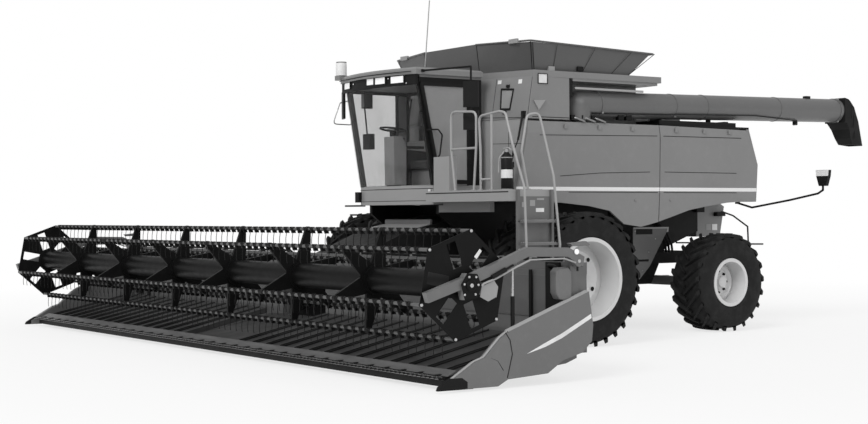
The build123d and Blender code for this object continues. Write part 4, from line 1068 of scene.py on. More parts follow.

# %% [markdown]
# The end shields are mouldings with a tapered pale stripe and a black wear shoe on the nose. Black
# lines are painted shade in each pressed crease, and a pale tube and strip along the top edge are a
# painted highlight. The large face between them is left plain.

# %% End shield trim
stripes, crease_shades, edges, shoes = (Build() for _ in range(4))
FACE = 5.6505
stripes.side_prism(FACE, ((-3.616, 0.344), (-3.370, 0.443), (-3.134, 0.533), (-2.722, 0.722),
                          (-2.716, 0.676), (-3.135, 0.483), (-3.370, 0.401)), 0.0015)
# Painted shade: black lines where each pressed crease falls into shade.
crease_shades.tube([(FACE, -3.900, 0.575), (FACE, -3.842, 0.498), (FACE, -3.812, 0.352),
              (FACE, -3.880, 0.110)], 0.005, sides=6)
crease_shades.tube([(FACE - 0.010, -4.100, 0.330), (FACE - 0.006, -4.000, 0.290),
              (FACE - 0.002, -3.930, 0.190)], 0.004, sides=6)
# Painted highlight: a pale tube and a pale top strip where light catches the shield's top edge.
edge_line = [(-4.660, 0.095), (-4.300, 0.296), (-4.170, 0.336), (-3.960, 0.526), (-3.840, 0.596),
             (-2.750, 0.968)]
edges.tube([(5.615, y, z) for y, z in edge_line], 0.013, sides=8)
edges.hexa([(5.580, -3.860, 0.588), (5.648, -3.860, 0.582), (5.648, -2.755, 0.958),
            (5.580, -2.755, 0.964), (5.584, -3.860, 0.600), (5.646, -3.860, 0.594),
            (5.646, -2.755, 0.970), (5.584, -2.755, 0.976)])
shoes.side_prism(5.590, ((-4.762, 0.028), (-4.740, 0.070), (-4.600, 0.148), (-4.450, 0.150),
                         (-4.330, 0.080), (-4.300, 0.024)), 0.046)
dress("header", (
    (stripes, "shield_stripes", "plate_paint", 0),
    (crease_shades, "shield_creases", "frame_black", 0),
    (edges, "shield_top_edges", "rail_enamel", 0.003),
    (shoes, "divider_shoes", "black_plastic", 0.010),
), both_sides=True)

# %% [markdown]
# Behind the deck the header's back wall carries a paler upper sheet and the pipes that feed the
# reel drive. Cheeks close the joint round the feeder's mouth. Each end has a post, and a bare
# rounded cap with a small lamp above it.

# %% The header's back wall and end caps
PIPE_Z = 1.292
sheets, pipes, pipe_clips, cheeks, posts = (Build() for _ in range(5))
for side in (1, -1):
    low, high = sorted((side * 0.600, side * 5.480))
    sheets.bar((low, -2.862, 0.660), (high, -2.850, 1.120))
    for y, radius in ((-2.770, 0.016), (-2.725, 0.012)):
        pipes.tube([(side * 0.35, y, PIPE_Z - 0.10), (side * 0.55, y, PIPE_Z),
                    (side * 5.40, y, PIPE_Z), (side * 5.50, y - 0.04, PIPE_Z - 0.04),
                    (side * 5.50, y - 0.04, 1.16)], radius, 0.06)
    for k in range(9):
        x = side * (0.75 + k * 0.57)
        pipe_clips.bar((x - 0.02, -2.795, 1.268), (x + 0.02, -2.705, 1.312))
    low, high = sorted((side * 0.565, side * 0.598))
    cheeks.bar((low, -2.818, 0.385), (high, -2.694, 1.030))
cheeks.bar((-0.598, -2.818, 1.034), (0.598, -2.694, 1.060))
cheeks.bar((-0.598, -2.818, 0.340), (0.598, -2.694, 0.381))
cheeks.done("feeder_mouth_cheeks", "chassis_enamel", "header", 0.003)
posts.bar((5.115, -2.900, 0.500), (5.335, -2.8605, 1.270))
posts.tube([(4.860, -2.890, 0.420), (4.860, -2.890, 1.180)], 0.022)
posts.tube([(5.225, -2.910, 1.200), (5.225, -2.960, 1.240), (5.380, -2.990, 1.235),
            (5.400, -2.960, 1.120)], 0.016, 0.04)
posts.mirrored().done("header_posts", "frame_black", "header", 0.006)
sheets.done("header_back_sheets", "guide_enamel", "header", 0.004)
pipes.done("header_pipes", "frame_black", "header")
pipe_clips.done("header_pipe_clips", "worn_steel", "header", 0.004)

caps, arm_tops, lamp_faces = Build(), Build(), Build()
caps.side_prism(5.490, ((-3.165, 1.185), (-3.120, 1.222), (-2.990, 1.228), (-2.942, 1.180),
                        (-2.942, 0.890), (-3.000, 0.860), (-3.120, 0.890), (-3.165, 0.960)),
                0.110)
arm_tops.side_prism(5.560, ((-2.990, 1.480), (-2.760, 1.500), (-2.700, 1.455), (-2.760, 1.452),
                            (-2.960, 1.448)), 0.070)
lamp_faces.disc(0.030, (5.655, -2.930, 1.390), (5.668, -2.930, 1.390), 0.004)
caps.mirrored().done("header_end_caps", "header_enamel", "header", 0.018)
dress("reel_arms", (
    (arm_tops, "arm_top_plates", "header_enamel", 0.006),
    (lamp_faces, "header_end_lamps", "white_lens", 0),
), both_sides=True)
print("header dressed")

# %% [markdown]
# Large sheet panels get their scale from small things: the seams between them, latches, hinges and
# windows. `seam` lays a thin dark strip, `ring_prism` makes a frame round an opening, and `Patch`
# finds a place on a flat or twisted panel from its four corners.

# %% Helpers for sheet panels
class Patch:
    """Panel between two lower and two upper corners; at(u, v) is a point on it."""

    def __init__(self, low_a, low_b, high_a, high_b):
        self.low = Vector(low_a), Vector(low_b)
        self.high = Vector(high_a), Vector(high_b)
        across, upward = self.low[1] - self.low[0], self.high[0] - self.low[0]
        self.normal = across.cross(upward).normalized()

    def at(self, u, v, out=0.0):
        low, high = self.low[0].lerp(self.low[1], u), self.high[0].lerp(self.high[1], u)
        return low.lerp(high, v) + self.normal * out


def seam(build, points, width=0.008, out=(1, 0, 0), proud=0.0015):
    """Thin dark strip along a line on a panel that faces `out`."""
    out = Vector(out).normalized()
    points = [Vector(p) for p in points]
    for a, b in zip(points, points[1:]):
        side = (b - a).normalized().cross(out) * (width / 2)
        build.prism([a - side, b - side, b + side, a + side], out * proud)


def ring_prism(build, outline, share, shift):
    """Frame between an outline and the same outline shrunk towards its middle."""
    outline = [Vector(p) for p in outline]
    middle = sum(outline, Vector()) / len(outline)
    inner = [middle + (p - middle) * share for p in outline]
    for i, j in ((k, (k + 1) % len(outline)) for k in range(len(outline))):
        build.prism([outline[i], outline[j], inner[j], inner[i]], shift)


def plate(build, low, high, x, proud=0.004):
    """Small blank plate on a face at X, from its (y, z) corners."""
    (y0, z0), (y1, z1) = low, high
    build.bar((min(x, x + proud), y0, z0), (max(x, x + proud), y1, z1))


# %% [markdown]
# The grain tank stands between the cab and the engine. Its front corner wall leans, and carries a
# small window through which the driver sees the grain, with a hinge above and a latch below.

# %% The grain tank's walls
def tank_wall(x, z, out=0.0):
    """Point on the leaning wall at the tank's front left corner."""
    lean = 0.100 * (3.725 - z) / 0.595
    return Vector((x, -0.280 + (x - 0.7) * 0.2955 - lean, z)) + WALL_OUT * out


WALL_OUT = Vector((0.2834, -0.9590, 0)).normalized()
SIDE = 1.580
window = [tank_wall(x, z) for x, z in ((1.081, 3.578), (1.294, 3.565), (1.273, 3.260),
                                       (1.109, 3.269))]
panes, window_frames, blanks, seams, catches = (Build() for _ in range(5))
panes.prism(window, WALL_OUT * 0.006)
ring_prism(window_frames, window, 0.84, WALL_OUT * 0.020)
window_frames.slab(tank_wall, (1.165, 1.215), (3.585, 3.625), (0, 0.025))
window_frames.slab(tank_wall, (1.170, 1.210), (3.200, 3.255), (0, 0.030))
blanks.slab(tank_wall, (1.010, 1.068), (3.643, 3.696), (0, 0.003))
blanks.slab(tank_wall, (1.345, 1.402), (3.630, 3.690), (0, 0.003))
plate(blanks, (0.060, 3.632), (0.222, 3.758), SIDE)
ring_prism(window_frames, [(SIDE + 0.004, y, z) for y, z in (
    (0.050, 3.622), (0.232, 3.622), (0.232, 3.768), (0.050, 3.768))], 0.86, (0.008, 0, 0))
catches.side_prism(SIDE, ((-0.036, 3.386), (0.184, 3.394), (0.055, 3.249)), 0.020)
seam(seams, [tank_wall(x, 3.163 - (x - 0.95) * 0.04) for x in (0.72, 1.575)], 0.010, WALL_OUT)
seam(seams, [(SIDE, -0.05, 3.155), (SIDE, 0.645, 3.155)], 0.010)
for x in (0.985, 1.560):
    seam(seams, [tank_wall(x, 3.165), tank_wall(x, 3.715)], 0.006, WALL_OUT)
dress("machine", (
    (panes, "tank_window_panes", "mirror_glass", 0),
    (window_frames, "tank_window_frames", "frame_black", 0.003),
    (blanks, "tank_blank_plates", "plate_paint", 0),
    (seams, "tank_seams", "frame_black", 0),
    (catches, "tank_brackets", "pale_sheet", 0.003),
), both_sides=True)
print("tank walls dressed")

# %% [markdown]
# Four flaps stand on the tank's rim and fold inwards for the road. Each is a twisted panel, so the
# seams, folds and latches are set out on `Patch` objects.

# %% The flaps over the tank
CHAMFER = Patch((0.620, -0.230, 3.815), (1.480, 0.050, 3.815), (0.620, -0.290, 4.245),
                (1.620, -0.100, 4.222))
FLANK = Patch((1.480, 0.050, 3.815), (1.500, 1.870, 3.815), (1.620, -0.100, 4.200),
              (1.620, 2.320, 4.152))
BACK = Patch((1.500, 1.870, 3.815), (-1.500, 1.870, 3.815), (1.620, 2.320, 4.152),
             (-1.620, 2.320, 4.152))
folds, edge_tubes, latches, latch_plates = (Build() for _ in range(4))
for panel in (CHAMFER, FLANK):
    for u in (0.012, 0.988):
        seam(folds, [panel.at(u, 0.02), panel.at(u, 0.99)], 0.010, panel.normal, 0.003)
edge_tubes.tube([CHAMFER.at(0, 0.985), CHAMFER.at(0.99, 0.985), FLANK.at(0.98, 0.985),
                 BACK.at(0.5, 0.985)], 0.014, 0.03)
for u, v in ((0.455, 0.16), (0.175, 0.10)):
    spot = FLANK.at(u, v)
    kind = latches if u > 0.3 else latch_plates
    kind.bar((spot.x - 0.005, spot.y - 0.055, spot.z - 0.035),
             (spot.x + 0.030, spot.y + 0.055, spot.z + 0.030))
spot = CHAMFER.at(0.70, 0.99)
latch_plates.bar((spot.x - 0.09, spot.y - 0.03, spot.z - 0.03),
                 (spot.x + 0.09, spot.y + 0.01, spot.z + 0.035))
for k in range(3):
    u = 0.2 + 0.3 * k
    low, high = FLANK.at(u, 0.05), FLANK.at(u, 0.95)
    seam(folds, [low, high], 0.006, FLANK.normal, 0.002)
dress("machine", (
    (folds, "flap_seams", "frame_black", 0),
    (edge_tubes, "flap_edge_tubes", "extension_enamel", 0),
    (latches, "flap_latches", "frame_black", 0.005),
    (latch_plates, "flap_catches", "pale_sheet", 0.005),
), both_sides=True)
print("tank flaps", 4)

# %% [markdown]
# A sheet below the tank's front closes the space behind the cab, with one seam across it and one
# down it. A bright rail and a dark slot lie along the tank's side.

# %% The sheets below the tank and the rail beside it
under_sheets, under_seams = Build(), Build()
under_sheets.prism([(0.650, -0.385, 2.125), (1.545, -0.120, 2.125), (1.545, -0.108, 2.125),
                    (0.650, -0.373, 2.125)], (0, 0, 1.003))
seam(under_seams, [(0.975, -0.2895, 2.790), (1.540, -0.1225, 2.780)], 0.006, WALL_OUT)
seam(under_seams, [(1.250, -0.2083, 2.140), (1.250, -0.2083, 3.110)], 0.006, WALL_OUT)
under_sheets.mirrored().done("tank_front_sheets", "pale_sheet", "machine", 0.003)
under_seams.mirrored().done("tank_front_seams", "frame_black", "machine")

rim_rails, rim_gaps = Build(), Build()
rim_rails.bar((SIDE - 0.010, 0.748, 3.570), (SIDE + 0.012, 2.085, 3.602))
rim_gaps.bar((SIDE - 0.010, 0.640, 3.460), (SIDE + 0.004, 0.700, 3.722))
rim_rails.done("tank_rim_rail", "rail_enamel", "machine", 0.004)
rim_gaps.done("tank_rim_gap", "frame_black", "machine")
print("tank dressed")

# %% [markdown]
# Two tall shields cover each side. They hang from the top, lift like a door on gas struts, and meet
# in a narrow gap. A pale stripe runs their whole length over a dark line. The sheet is stiffened by
# two faint pressed lines, and the shade in each crease is painted as a dark line. These lines ride
# on the shield that they belong to.

# %% Trim of the side shields
SHIELD_X = 1.600
for side_name, side in (("left", 1), ("right", -1)):
    # In each list the first two lines are painted shade in the pressed crease lines, and the last
    # is the dark line under the stripe.
    for part_name, lines in (
            ("front", (((0.07, 2.900), (2.35, 2.938)),
                       ((0.44, 2.326), (1.20, 2.376), (2.20, 2.401)),
                       ((0.60, 2.098), (2.36, 2.098)))),
            ("rear", (((2.48, 2.939), (4.16, 2.945)), ((2.50, 2.404), (4.05, 2.400)),
                      ((2.48, 2.098), (4.05, 2.098))))):
        trim = Build()
        for line in lines:
            seam(trim, [(side * SHIELD_X, y, z) for y, z in line], 0.009, (side, 0, 0))
        body = f"shield_{part_name}_{side_name}"
        trim.done(f"shield_seams_{part_name}_{side_name}", "frame_black", body)
        hinge_y = (0.55, 1.20, 1.85) if part_name == "front" else (2.75, 3.35, 3.90)
        straps = Build()
        for y in hinge_y:
            straps.side_prism(side * SHIELD_X, ((y - 0.030, 3.000), (y + 0.030, 3.000),
                                                (y + 0.022, 3.070), (y - 0.022, 3.070)),
                              side * 0.006)
        latch_y = 1.90 if part_name == "front" else 2.62
        straps.disc(0.016, (side * SHIELD_X, latch_y, 1.98),
                    (side * (SHIELD_X + 0.008), latch_y, 1.98), 0.003, steps=20)
        straps.done(f"shield_straps_{part_name}_{side_name}", "body_enamel", body, 0.002)
print("side shields dressed")

# %% [markdown]
# The unloading auger is a long tube with flanged joints. Clamps, a small lamp and a sensor sit on
# it, and a rubber boot with moulded ribs closes its end. All of them swing out with the tube.

# %% The unloading auger's fittings
BOOT_X, TUBE_R = 1.300, 0.192
TUBE_START, TUBE_END = Vector((1.390, 0.960, 3.370)), Vector((BOOT_X, 6.800, 3.476))
TUBE_WAY = (TUBE_END - TUBE_START).normalized()


def tube_middle(y):
    """Point on the tube's centre line at Y."""
    return TUBE_START + TUBE_WAY * ((y - TUBE_START.y) / TUBE_WAY.y)


def tube_at(y, out=0.0, angle=0.0):
    """Point on the tube's skin at Y; angle is from straight out towards up."""
    turn = math.radians(angle)
    return tube_middle(y) + Vector((math.cos(turn), 0, math.sin(turn))) * (TUBE_R + out)


bands, band_bolts, tube_lamps, tube_lenses, tube_pipes = (Build() for _ in range(5))
for y, width, high in ((1.30, 0.040, 0.010), (2.825, 0.014, 0.006), (3.513, 0.014, 0.006),
                       (5.20, 0.014, 0.006), (6.70, 0.050, 0.010)):
    bands.turned([(-width / 2, TUBE_R - 0.004), (-width / 2, TUBE_R + high),
                  (width / 2, TUBE_R + high), (width / 2, TUBE_R - 0.004)], tube_middle(y),
                 TUBE_WAY, closed=True)
for y, angle in ((1.30, -35), (2.825, -50), (6.70, -60), (6.70, 60)):
    low, high = tube_at(y, 0.004, angle), tube_at(y, 0.030, angle)
    band_bolts.disc(0.018, low, high, 0.004, steps=8)
for y in (1.72, 1.88):
    low = tube_at(y, -0.02, -62)
    tube_lamps.bar((low.x - 0.03, y - 0.05, low.z - 0.07),
                   (low.x + 0.04, y + 0.06, low.z + 0.02))
tube_lamps.bar((1.28, 5.98, 3.650), (1.36, 6.08, 3.690))
tube_lamps.disc(0.040, (1.34, 5.72, 3.275), (1.34, 5.72, 3.205), 0.008, steps=20)
tube_lenses.disc(0.032, (1.34, 5.72, 3.206), (1.34, 5.72, 3.198), 0.003, steps=20)
tube_pipes.tube([tube_at(1.10, 0.016, -40), tube_at(2.70, 0.016, -40), tube_at(2.84, 0.020, -36),
                 tube_at(4.60, 0.016, -36), tube_at(5.66, 0.018, -60)], 0.008, 0.05, sides=6)
dress("unloading_auger", (
    (bands, "auger_flanges", "tube_enamel", 0),
    (band_bolts, "auger_bolts", "worn_steel", 0),
    (tube_lamps, "auger_fittings", "frame_black", 0.006),
    (tube_lenses, "auger_lamp_lens", "white_lens", 0),
    (tube_pipes, "auger_wiring_pipe", "frame_black", 0),
))

boot_ribs = Build()
for y, z in ((6.925, 3.46), (6.985, 3.30), (7.040, 3.12)):
    half = 0.206 - max(0, 3.30 - z) * 0.169
    boot_ribs.bar((BOOT_X + half, y - 0.012, z - 0.115),
                  (BOOT_X + half + 0.006, y + 0.006, z + 0.100))
boot_ribs.done("boot_ribs", "boot_rubber", "unloading_auger", 0.004)

swing_pipes, swing_blocks = Build(), Build()
for k, y in enumerate((0.72, 0.92, 1.12)):
    swing_pipes.tube([(1.50, y, 3.180), (1.585, y + 0.04, 3.160), (1.590, y + 0.20, 3.115),
                      (1.520, y + 0.26, 3.100)], 0.014, 0.04)
    swing_blocks.bar((1.490, y - 0.035, 3.150), (1.575, y + 0.035, 3.205))
swing_pipes.done("auger_swing_pipes", "worn_steel", "machine")
swing_blocks.done("auger_swing_valves", "frame_black", "machine", 0.005)
print("auger dressed")

# %% [markdown]
# The cab is mostly glass, so what stands inside shows. A grey lining covers the back wall and the
# ceiling, a cover hides the steering column's foot, and a console with levers stands at the
# operator's right hand.

# %% Inside the cab
matt_rubber("lining_plastic", 0.40, 30.0)
matt_rubber("column_plastic", 0.36, 30.0)
lining, console, covers, screens, screen_faces = (Build() for _ in range(5))
lining.bar((-0.840, -0.474, 2.215), (0.840, -0.463, 2.895))
lining.bar((-0.830, -1.440, 3.634), (0.830, -0.480, 3.642))
lining.bar((-0.830, -1.260, 2.202), (0.830, -0.480, 2.210))
for side in (1, -1):
    x0, x1 = sorted((side * 0.838, side * 0.843))
    lining.bar((x0, -0.625, 2.215), (x1, -0.480, 3.580))
console.side_prism(-0.420, ((-1.020, 2.210), (-0.480, 2.210), (-0.480, 2.720), (-0.960, 2.760),
                            (-1.050, 2.700), (-1.060, 2.560)), 0.150)
console.bar((-0.415, -1.000, 2.765), (-0.275, -0.560, 2.805))
for y in (-1.000, -0.930):
    console.tube([(-0.345, y, 2.760), (-0.345, y - 0.02, 2.870)], 0.010)
    console.disc(0.022, (-0.345, y - 0.02, 2.860), (-0.345, y - 0.025, 2.910), 0.006, steps=16)
covers.side_prism(-0.120, ((-1.392, 2.210), (-1.170, 2.210), (-1.165, 2.780), (-1.240, 2.925),
                           (-1.400, 2.915)), 0.240)
covers.turned([(0, 0), (0, 0.050), (0.030, 0.060), (0.050, 0.045), (0.055, 0)],
              (0, -1.328, 3.000), (0, 0.13, 0.99), steps=24)
screens.bar((-0.780, -1.350, 3.370), (-0.690, -1.200, 3.600))
screens.bar((-0.770, -1.330, 2.760), (-0.600, -1.230, 2.990))
screens.tube([(-0.740, -1.270, 2.980), (-0.760, -1.300, 3.380)], 0.012)
screen_faces.bar((-0.770, -1.354, 3.385), (-0.700, -1.350, 3.585))
dress("machine", (
    (lining, "cab_lining", "lining_plastic", 0),
    (console, "armrest_console", "black_plastic", 0.010),
    (covers, "steering_column_cover", "column_plastic", 0.012),
    (screens, "monitors", "black_plastic", 0.006),
    (screen_faces, "monitor_faces", "column_plastic", 0),
))

# %% [markdown]
# The seat is a pair of foam pads in cloth. Each pad starts as a rounded block a little smaller than
# its place. The Cloth modifier blows it up from inside without gravity, so its faces crown and its
# edges stay pulled in, and the farthest a point may move is capped. Foam holds its shape, so the
# result is applied and only smoothed once.

# %% The operator's seat
SWELL, PRESSURE, CAP, VOXEL = 20, 4, 0.014, 0.008   # frames, pressure, farthest move, mesh size


def swollen(mesh):
    """The mesh after the cloth has filled out, with each point's move capped."""
    pad = link(bpy.data.objects.new("pad", mesh))
    remesh = pad.modifiers.new("even", "REMESH")
    remesh.mode, remesh.voxel_size = "VOXEL", VOXEL
    even = bpy.data.meshes.new_from_object(
        pad.evaluated_get(bpy.context.evaluated_depsgraph_get()))
    bpy.data.objects.remove(pad)
    pad = link(bpy.data.objects.new("pad", even))
    cloth_layer = pad.modifiers.new("cloth", "CLOTH")
    cloth_layer.settings.use_pressure = True
    cloth_layer.settings.uniform_pressure_force = PRESSURE
    cloth_layer.settings.effector_weights.gravity = 0
    cloth_layer.point_cache.frame_start, cloth_layer.point_cache.frame_end = 1, SWELL
    for step in range(1, SWELL + 1):
        bpy.context.scene.frame_set(step)
    blown = bpy.data.meshes.new_from_object(
        pad.evaluated_get(bpy.context.evaluated_depsgraph_get()))
    for start, moved in zip(even.vertices, blown.vertices):
        shift = moved.co - start.co
        if shift.length > CAP:
            moved.co = start.co + shift.normalized() * CAP
    bpy.data.objects.remove(pad)
    bpy.context.scene.frame_set(1)
    return blown


def pad_block(outline, half):
    """Rounded block from a side outline (y, z) and a half width."""
    block = Build().side_prism(-half, outline, 2 * half)
    bmesh.ops.recalc_face_normals(block.bm, faces=block.bm.faces)
    bmesh.ops.bevel(block.bm, geom=block.bm.edges[:], offset=0.026, segments=3, profile=0.5,
                    affect="EDGES")
    return block.mesh("pad block")


SEAT_PAD = ([(-0.885, 2.472), (-0.500, 2.472), (-0.500, 2.560), (-0.885, 2.570)], 0.222)
BACK_PAD = ([(-0.551, 2.615), (-0.489, 2.615), (-0.489, 3.185), (-0.545, 3.185)], 0.212)
seat = Build()
for pad_outline in (SEAT_PAD, BACK_PAD):
    seat.add(swollen(pad_block(*pad_outline)))
seat = seat.done("seat_pads", "seat_cloth", "machine", smooth=60, replaces=("seat_cushions",))
finer = seat.modifiers.new("finer", "SUBSURF")
finer.levels = finer.render_levels = 1
print("seat pads", len(seat.data.polygons), "faces")

seat_shell = Build()
seat_shell.bar((-0.215, -0.860, 2.440), (0.215, -0.500, 2.462))
seat_shell.bar((-0.200, -0.480, 2.560), (0.200, -0.474, 3.120))
for side in (1, -1):
    seat_shell.tube([(side * 0.232, -0.500, 2.470), (side * 0.238, -0.470, 2.700)], 0.014)
seat_shell.done("seat_shell", "black_plastic", "machine", 0.004)

# %% [markdown]
# Outside, the cab carries a row of work lamps under the visor, a round beacon, grab loops, hinges
# and a lip round its base. The lamp housing is bowed, so each lens is set on the same arc.

# %% Outside the cab
def bar_face(x, z, out=0.0):
    """Point on the lamp housing's bowed front face."""
    return Vector((x, -1.737 + 0.145 * (x / 0.93) ** 2 - out, z))


lenses, lens_rims, dots = Build(), Build(), Build()
for x0, x1, z0, z1 in ((-0.780, -0.560, 3.640, 3.728), (-0.047, 0.126, 3.643, 3.728),
                       (0.160, 0.380, 3.638, 3.728), (0.493, 0.735, 3.630, 3.722)):
    lenses.slab(bar_face, (x0, x1), (z0, z1), (-0.002, 0.008))
    for rim in ((x0 - 0.014, x0), (x1, x1 + 0.014)):
        lens_rims.slab(bar_face, rim, (z0 - 0.012, z1), (-0.002, 0.016))
for x, z in ((0.775, 3.615), (0.437, 3.700), (-0.450, 3.690)):
    spot = bar_face(x, z)
    dots.disc(0.012, spot, spot + Vector((0, -0.010, 0)), 0.003, steps=16)
beacon = Build()
beacon.turned([(0, 0.0785), (0, 0.0800), (0.010, 0.0815), (0.185, 0.0800), (0.205, 0.066),
               (0.2065, 0)], (-0.945, -1.590, 3.860), (0, 0, 1), steps=32)
visor_edges = Build()
visor_edges.tube([bar_face(x / 10, 3.770, 0.048) for x in range(-9, 10)], 0.006, sides=6)
grabs, hinges, pillar_parts = Build(), Build(), Build()
grabs.tube([(0.955, -1.423, 2.962), (0.990, -1.400, 2.966), (0.990, -1.250, 2.973),
            (0.990, -1.181, 2.898), (0.990, -1.225, 2.620), (0.962, -1.235, 2.591)], 0.011, 0.04)
hinges.bar((0.950, -1.340, 2.400), (0.968, -1.190, 2.480))
hinges.bar((0.950, -0.700, 2.500), (0.966, -0.660, 2.580))
hinges.bar((0.950, -0.700, 3.300), (0.966, -0.660, 3.380))
for z in (3.230, 3.560):
    pillar_parts.disc(0.022, (0.910, -1.475, z), (0.910, -1.500, z), 0.004, steps=16)
pillar_parts.bar((0.862, -1.430, 3.130), (0.908, -1.400, 3.620))
dress("machine", (
    (lenses, "work_lamp_lenses", "white_lens", 0),
    (lens_rims, "work_lamp_rims", "black_plastic", 0),
    (dots, "lamp_bar_dots", "bright_steel", 0),
    (beacon, "beacon_lens", "plate_paint", 0),
    (visor_edges, "visor_edge", "frame_black", 0),
))
dress("cab_door", (
    (grabs, "door_grab_loop", "black_plastic", 0),
    (hinges, "door_hinges", "frame_black", 0.004),
))
pillar_parts.done("pillar_hardware", "black_plastic", "machine", 0.004)

base_lips, base_lamps, base_plates, loops = (Build() for _ in range(4))
skirt = [(0.905 - k * 0.181, -1.280 - 0.138 * (1 - ((0.905 - k * 0.181) / 0.905) ** 2))
         for k in range(11)]
base_lips.tube([(x, y - 0.001, 2.155) for x, y in skirt], 0.005, sides=6)
base_lips.tube([(x, y - 0.001, 1.985) for x, y in skirt], 0.004, sides=6)
base_plates.bar((0.845, -1.325, 1.995), (0.880, -1.300, 2.145))
base_lamps.bar((-0.960, -1.350, 1.975), (-0.860, -1.285, 2.130))
for z, y0 in ((1.925, -1.370), (1.790, -1.280)):
    base_lamps.bar((-1.210, y0, z - 0.012), (-0.900, -1.200, z + 0.012))
loops.tube([(-1.150, -1.267, 3.527), (-1.150, -1.484, 3.474), (-1.150, -1.611, 3.155),
            (-1.150, -1.270, 3.149), (-1.150, -1.267, 3.500)], 0.008, 0.05)
dress("machine", (
    (base_lips, "cab_base_lips", "frame_black", 0),
    (base_plates, "cab_base_reflector", "plate_paint", 0.003),
    (base_lamps, "cab_base_brackets", "frame_black", 0.005),
    (loops, "mirror_guard_loop", "worn_steel", 0),
))
mirror_faces = Build()
for x, y, z0, z1, turn in ((-1.150, -1.420, 3.250, 3.625, -27), (1.752, -1.270, 3.250, 3.570, 27),
                           (1.752, -1.270, 2.945, 3.170, 27)):
    way = math.radians(turn)
    across = Vector((math.cos(way), math.sin(way), 0))
    back_way = Vector((-math.sin(way), math.cos(way), 0))
    middle = Vector((x, y, 0))
    corners_xy = [middle + across * a + back_way * b for a, b in (
        (-0.100, 0.0172), (0.100, 0.0172), (0.100, 0.0195), (-0.100, 0.0195))]
    mirror_faces.hexa([p + Vector((0, 0, z)) for z in (z0, z1) for p in corners_xy])
mirror_faces.done("mirror_faces", "mirror_glass", "machine")
print("cab dressed")

# %% [markdown]
# The platform and its ladder are where a person gets on, so they carry plates, treads and a fire
# extinguisher with a blank label. The treads have a row of raised grips, repeated along each step.
# A gas strut stands behind them, beside the front shield.

# %% The platform and the ladder
def cleat_mesh(x, y, z):
    """Small raised bar about its own origin, from its half length, half width and height."""
    return Build().bar((-x, -y, 0), (x, y, z)).mesh("cleat")


fascia, tread_grips, ladder_plates, white_plates, ladder_sheets = (Build() for _ in range(5))
seam(fascia, [(0.965, -1.450, 2.080), (2.740, -1.450, 2.080)], 0.014, (0, -1, 0), 0.002)
seam(fascia, [(2.786, -1.330, 1.700), (2.786, -1.290, 1.700)], 0.010, (1, 0, 0), 0.002)
for z in (0.550, 0.840, 1.130, 1.420, 1.710):
    for x in (2.790, 2.835, 2.880):
        tread_grips.add(repeat(cleat_mesh(0.006, 0.005, 0.008), 17, (x, -1.275, z), (0, 0.031, 0),
                               finish="rail_enamel"))
SHEET_X = 2.7535
ladder_sheets.bar((SHEET_X, -1.285, 1.712), (SHEET_X + 0.003, -0.765, 2.015))
for low, high in (((-1.240, 1.881), (-1.206, 1.946)), ((-1.104, 1.894), (-1.019, 1.972)),
                  ((-0.985, 1.972), (-0.867, 1.998))):
    plate(ladder_plates, low, high, SHEET_X + 0.003)
plate(white_plates, (-1.002, 1.817), (-0.867, 1.868), SHEET_X + 0.003)
deck_grips = Build()
for k in range(9):
    deck_grips.add(repeat(cleat_mesh(0.018, 0.004, 0.006), 22,
                          (1.05 + 0.037 * (k % 2), -1.380 + k * 0.075, 2.110), (0.074, 0, 0),
                          finish="pale_sheet"))
BOTTLE = (2.580, -1.340)
bottle, bottle_labels, bottle_valves, strut = (Build() for _ in range(4))
bottle.turned([(0, 0), (0, 0.070), (0.008, 0.0755), (0.405, 0.0755), (0.440, 0.062), (0.470, 0.034),
               (0.482, 0.033), (0.482, 0)], (*BOTTLE, 2.112), (0, 0, 1), steps=40)
bottle.done("extinguisher_bottle", "frame_black", "machine", smooth=50)
bottle_labels.turned([(0, 0.0752), (0, 0.0770), (0.110, 0.0770), (0.110, 0.0752)],
                     (*BOTTLE, 2.258), (0, 0, 1), steps=40, closed=True)
bottle_valves.disc(0.024, (*BOTTLE, 2.588), (*BOTTLE, 2.635), 0.005, steps=16)
bottle_valves.tube([(2.540, -1.360, 2.640), (2.620, -1.345, 2.650), (2.670, -1.335, 2.620)],
                   0.008)
bottle_valves.tube([(2.560, -1.370, 2.600), (2.520, -1.415, 2.520), (2.515, -1.425, 2.330)],
                   0.009, 0.04)
for y0, z0, y1, z1 in ((-0.151, 3.219, -0.245, 2.825), (-0.318, 2.684, -0.373, 2.502)):
    strut.tube([(1.500, y0, z0), (1.500, y1, z1)], 0.016)
strut.tube([(1.500, -0.245, 2.825), (1.500, -0.318, 2.684)], 0.009)
strut.bar((1.470, -0.165, 3.150), (1.530, -0.105, 3.235))
strut.bar((1.470, -0.400, 2.440), (1.530, -0.340, 2.520))
strut.bar((1.440, -0.400, 2.110), (1.520, -0.345, 2.450))
dress("machine", (
    (fascia, "platform_seams", "frame_black", 0),
    (tread_grips, "ladder_grips", "rail_enamel", 0),
    (deck_grips, "deck_grips", "pale_sheet", 0),
    (ladder_sheets, "ladder_upper_sheet", "header_enamel", 0),
    (ladder_plates, "ladder_plates", "pale_sheet", 0),
    (white_plates, "ladder_white_plate", "plate_paint", 0),
    (bottle_labels, "extinguisher_label", "plate_paint", 0),
    (bottle_valves, "extinguisher_valve", "rail_enamel", 0),
    (strut, "shield_strut", "frame_black", 0.003),
))
print("platform dressed")

# %% [markdown]
# The handrails are one tube each, bent cold, so their corners are arcs. Each stands on small
# welded feet. They take the place of the plain rails of the frame.

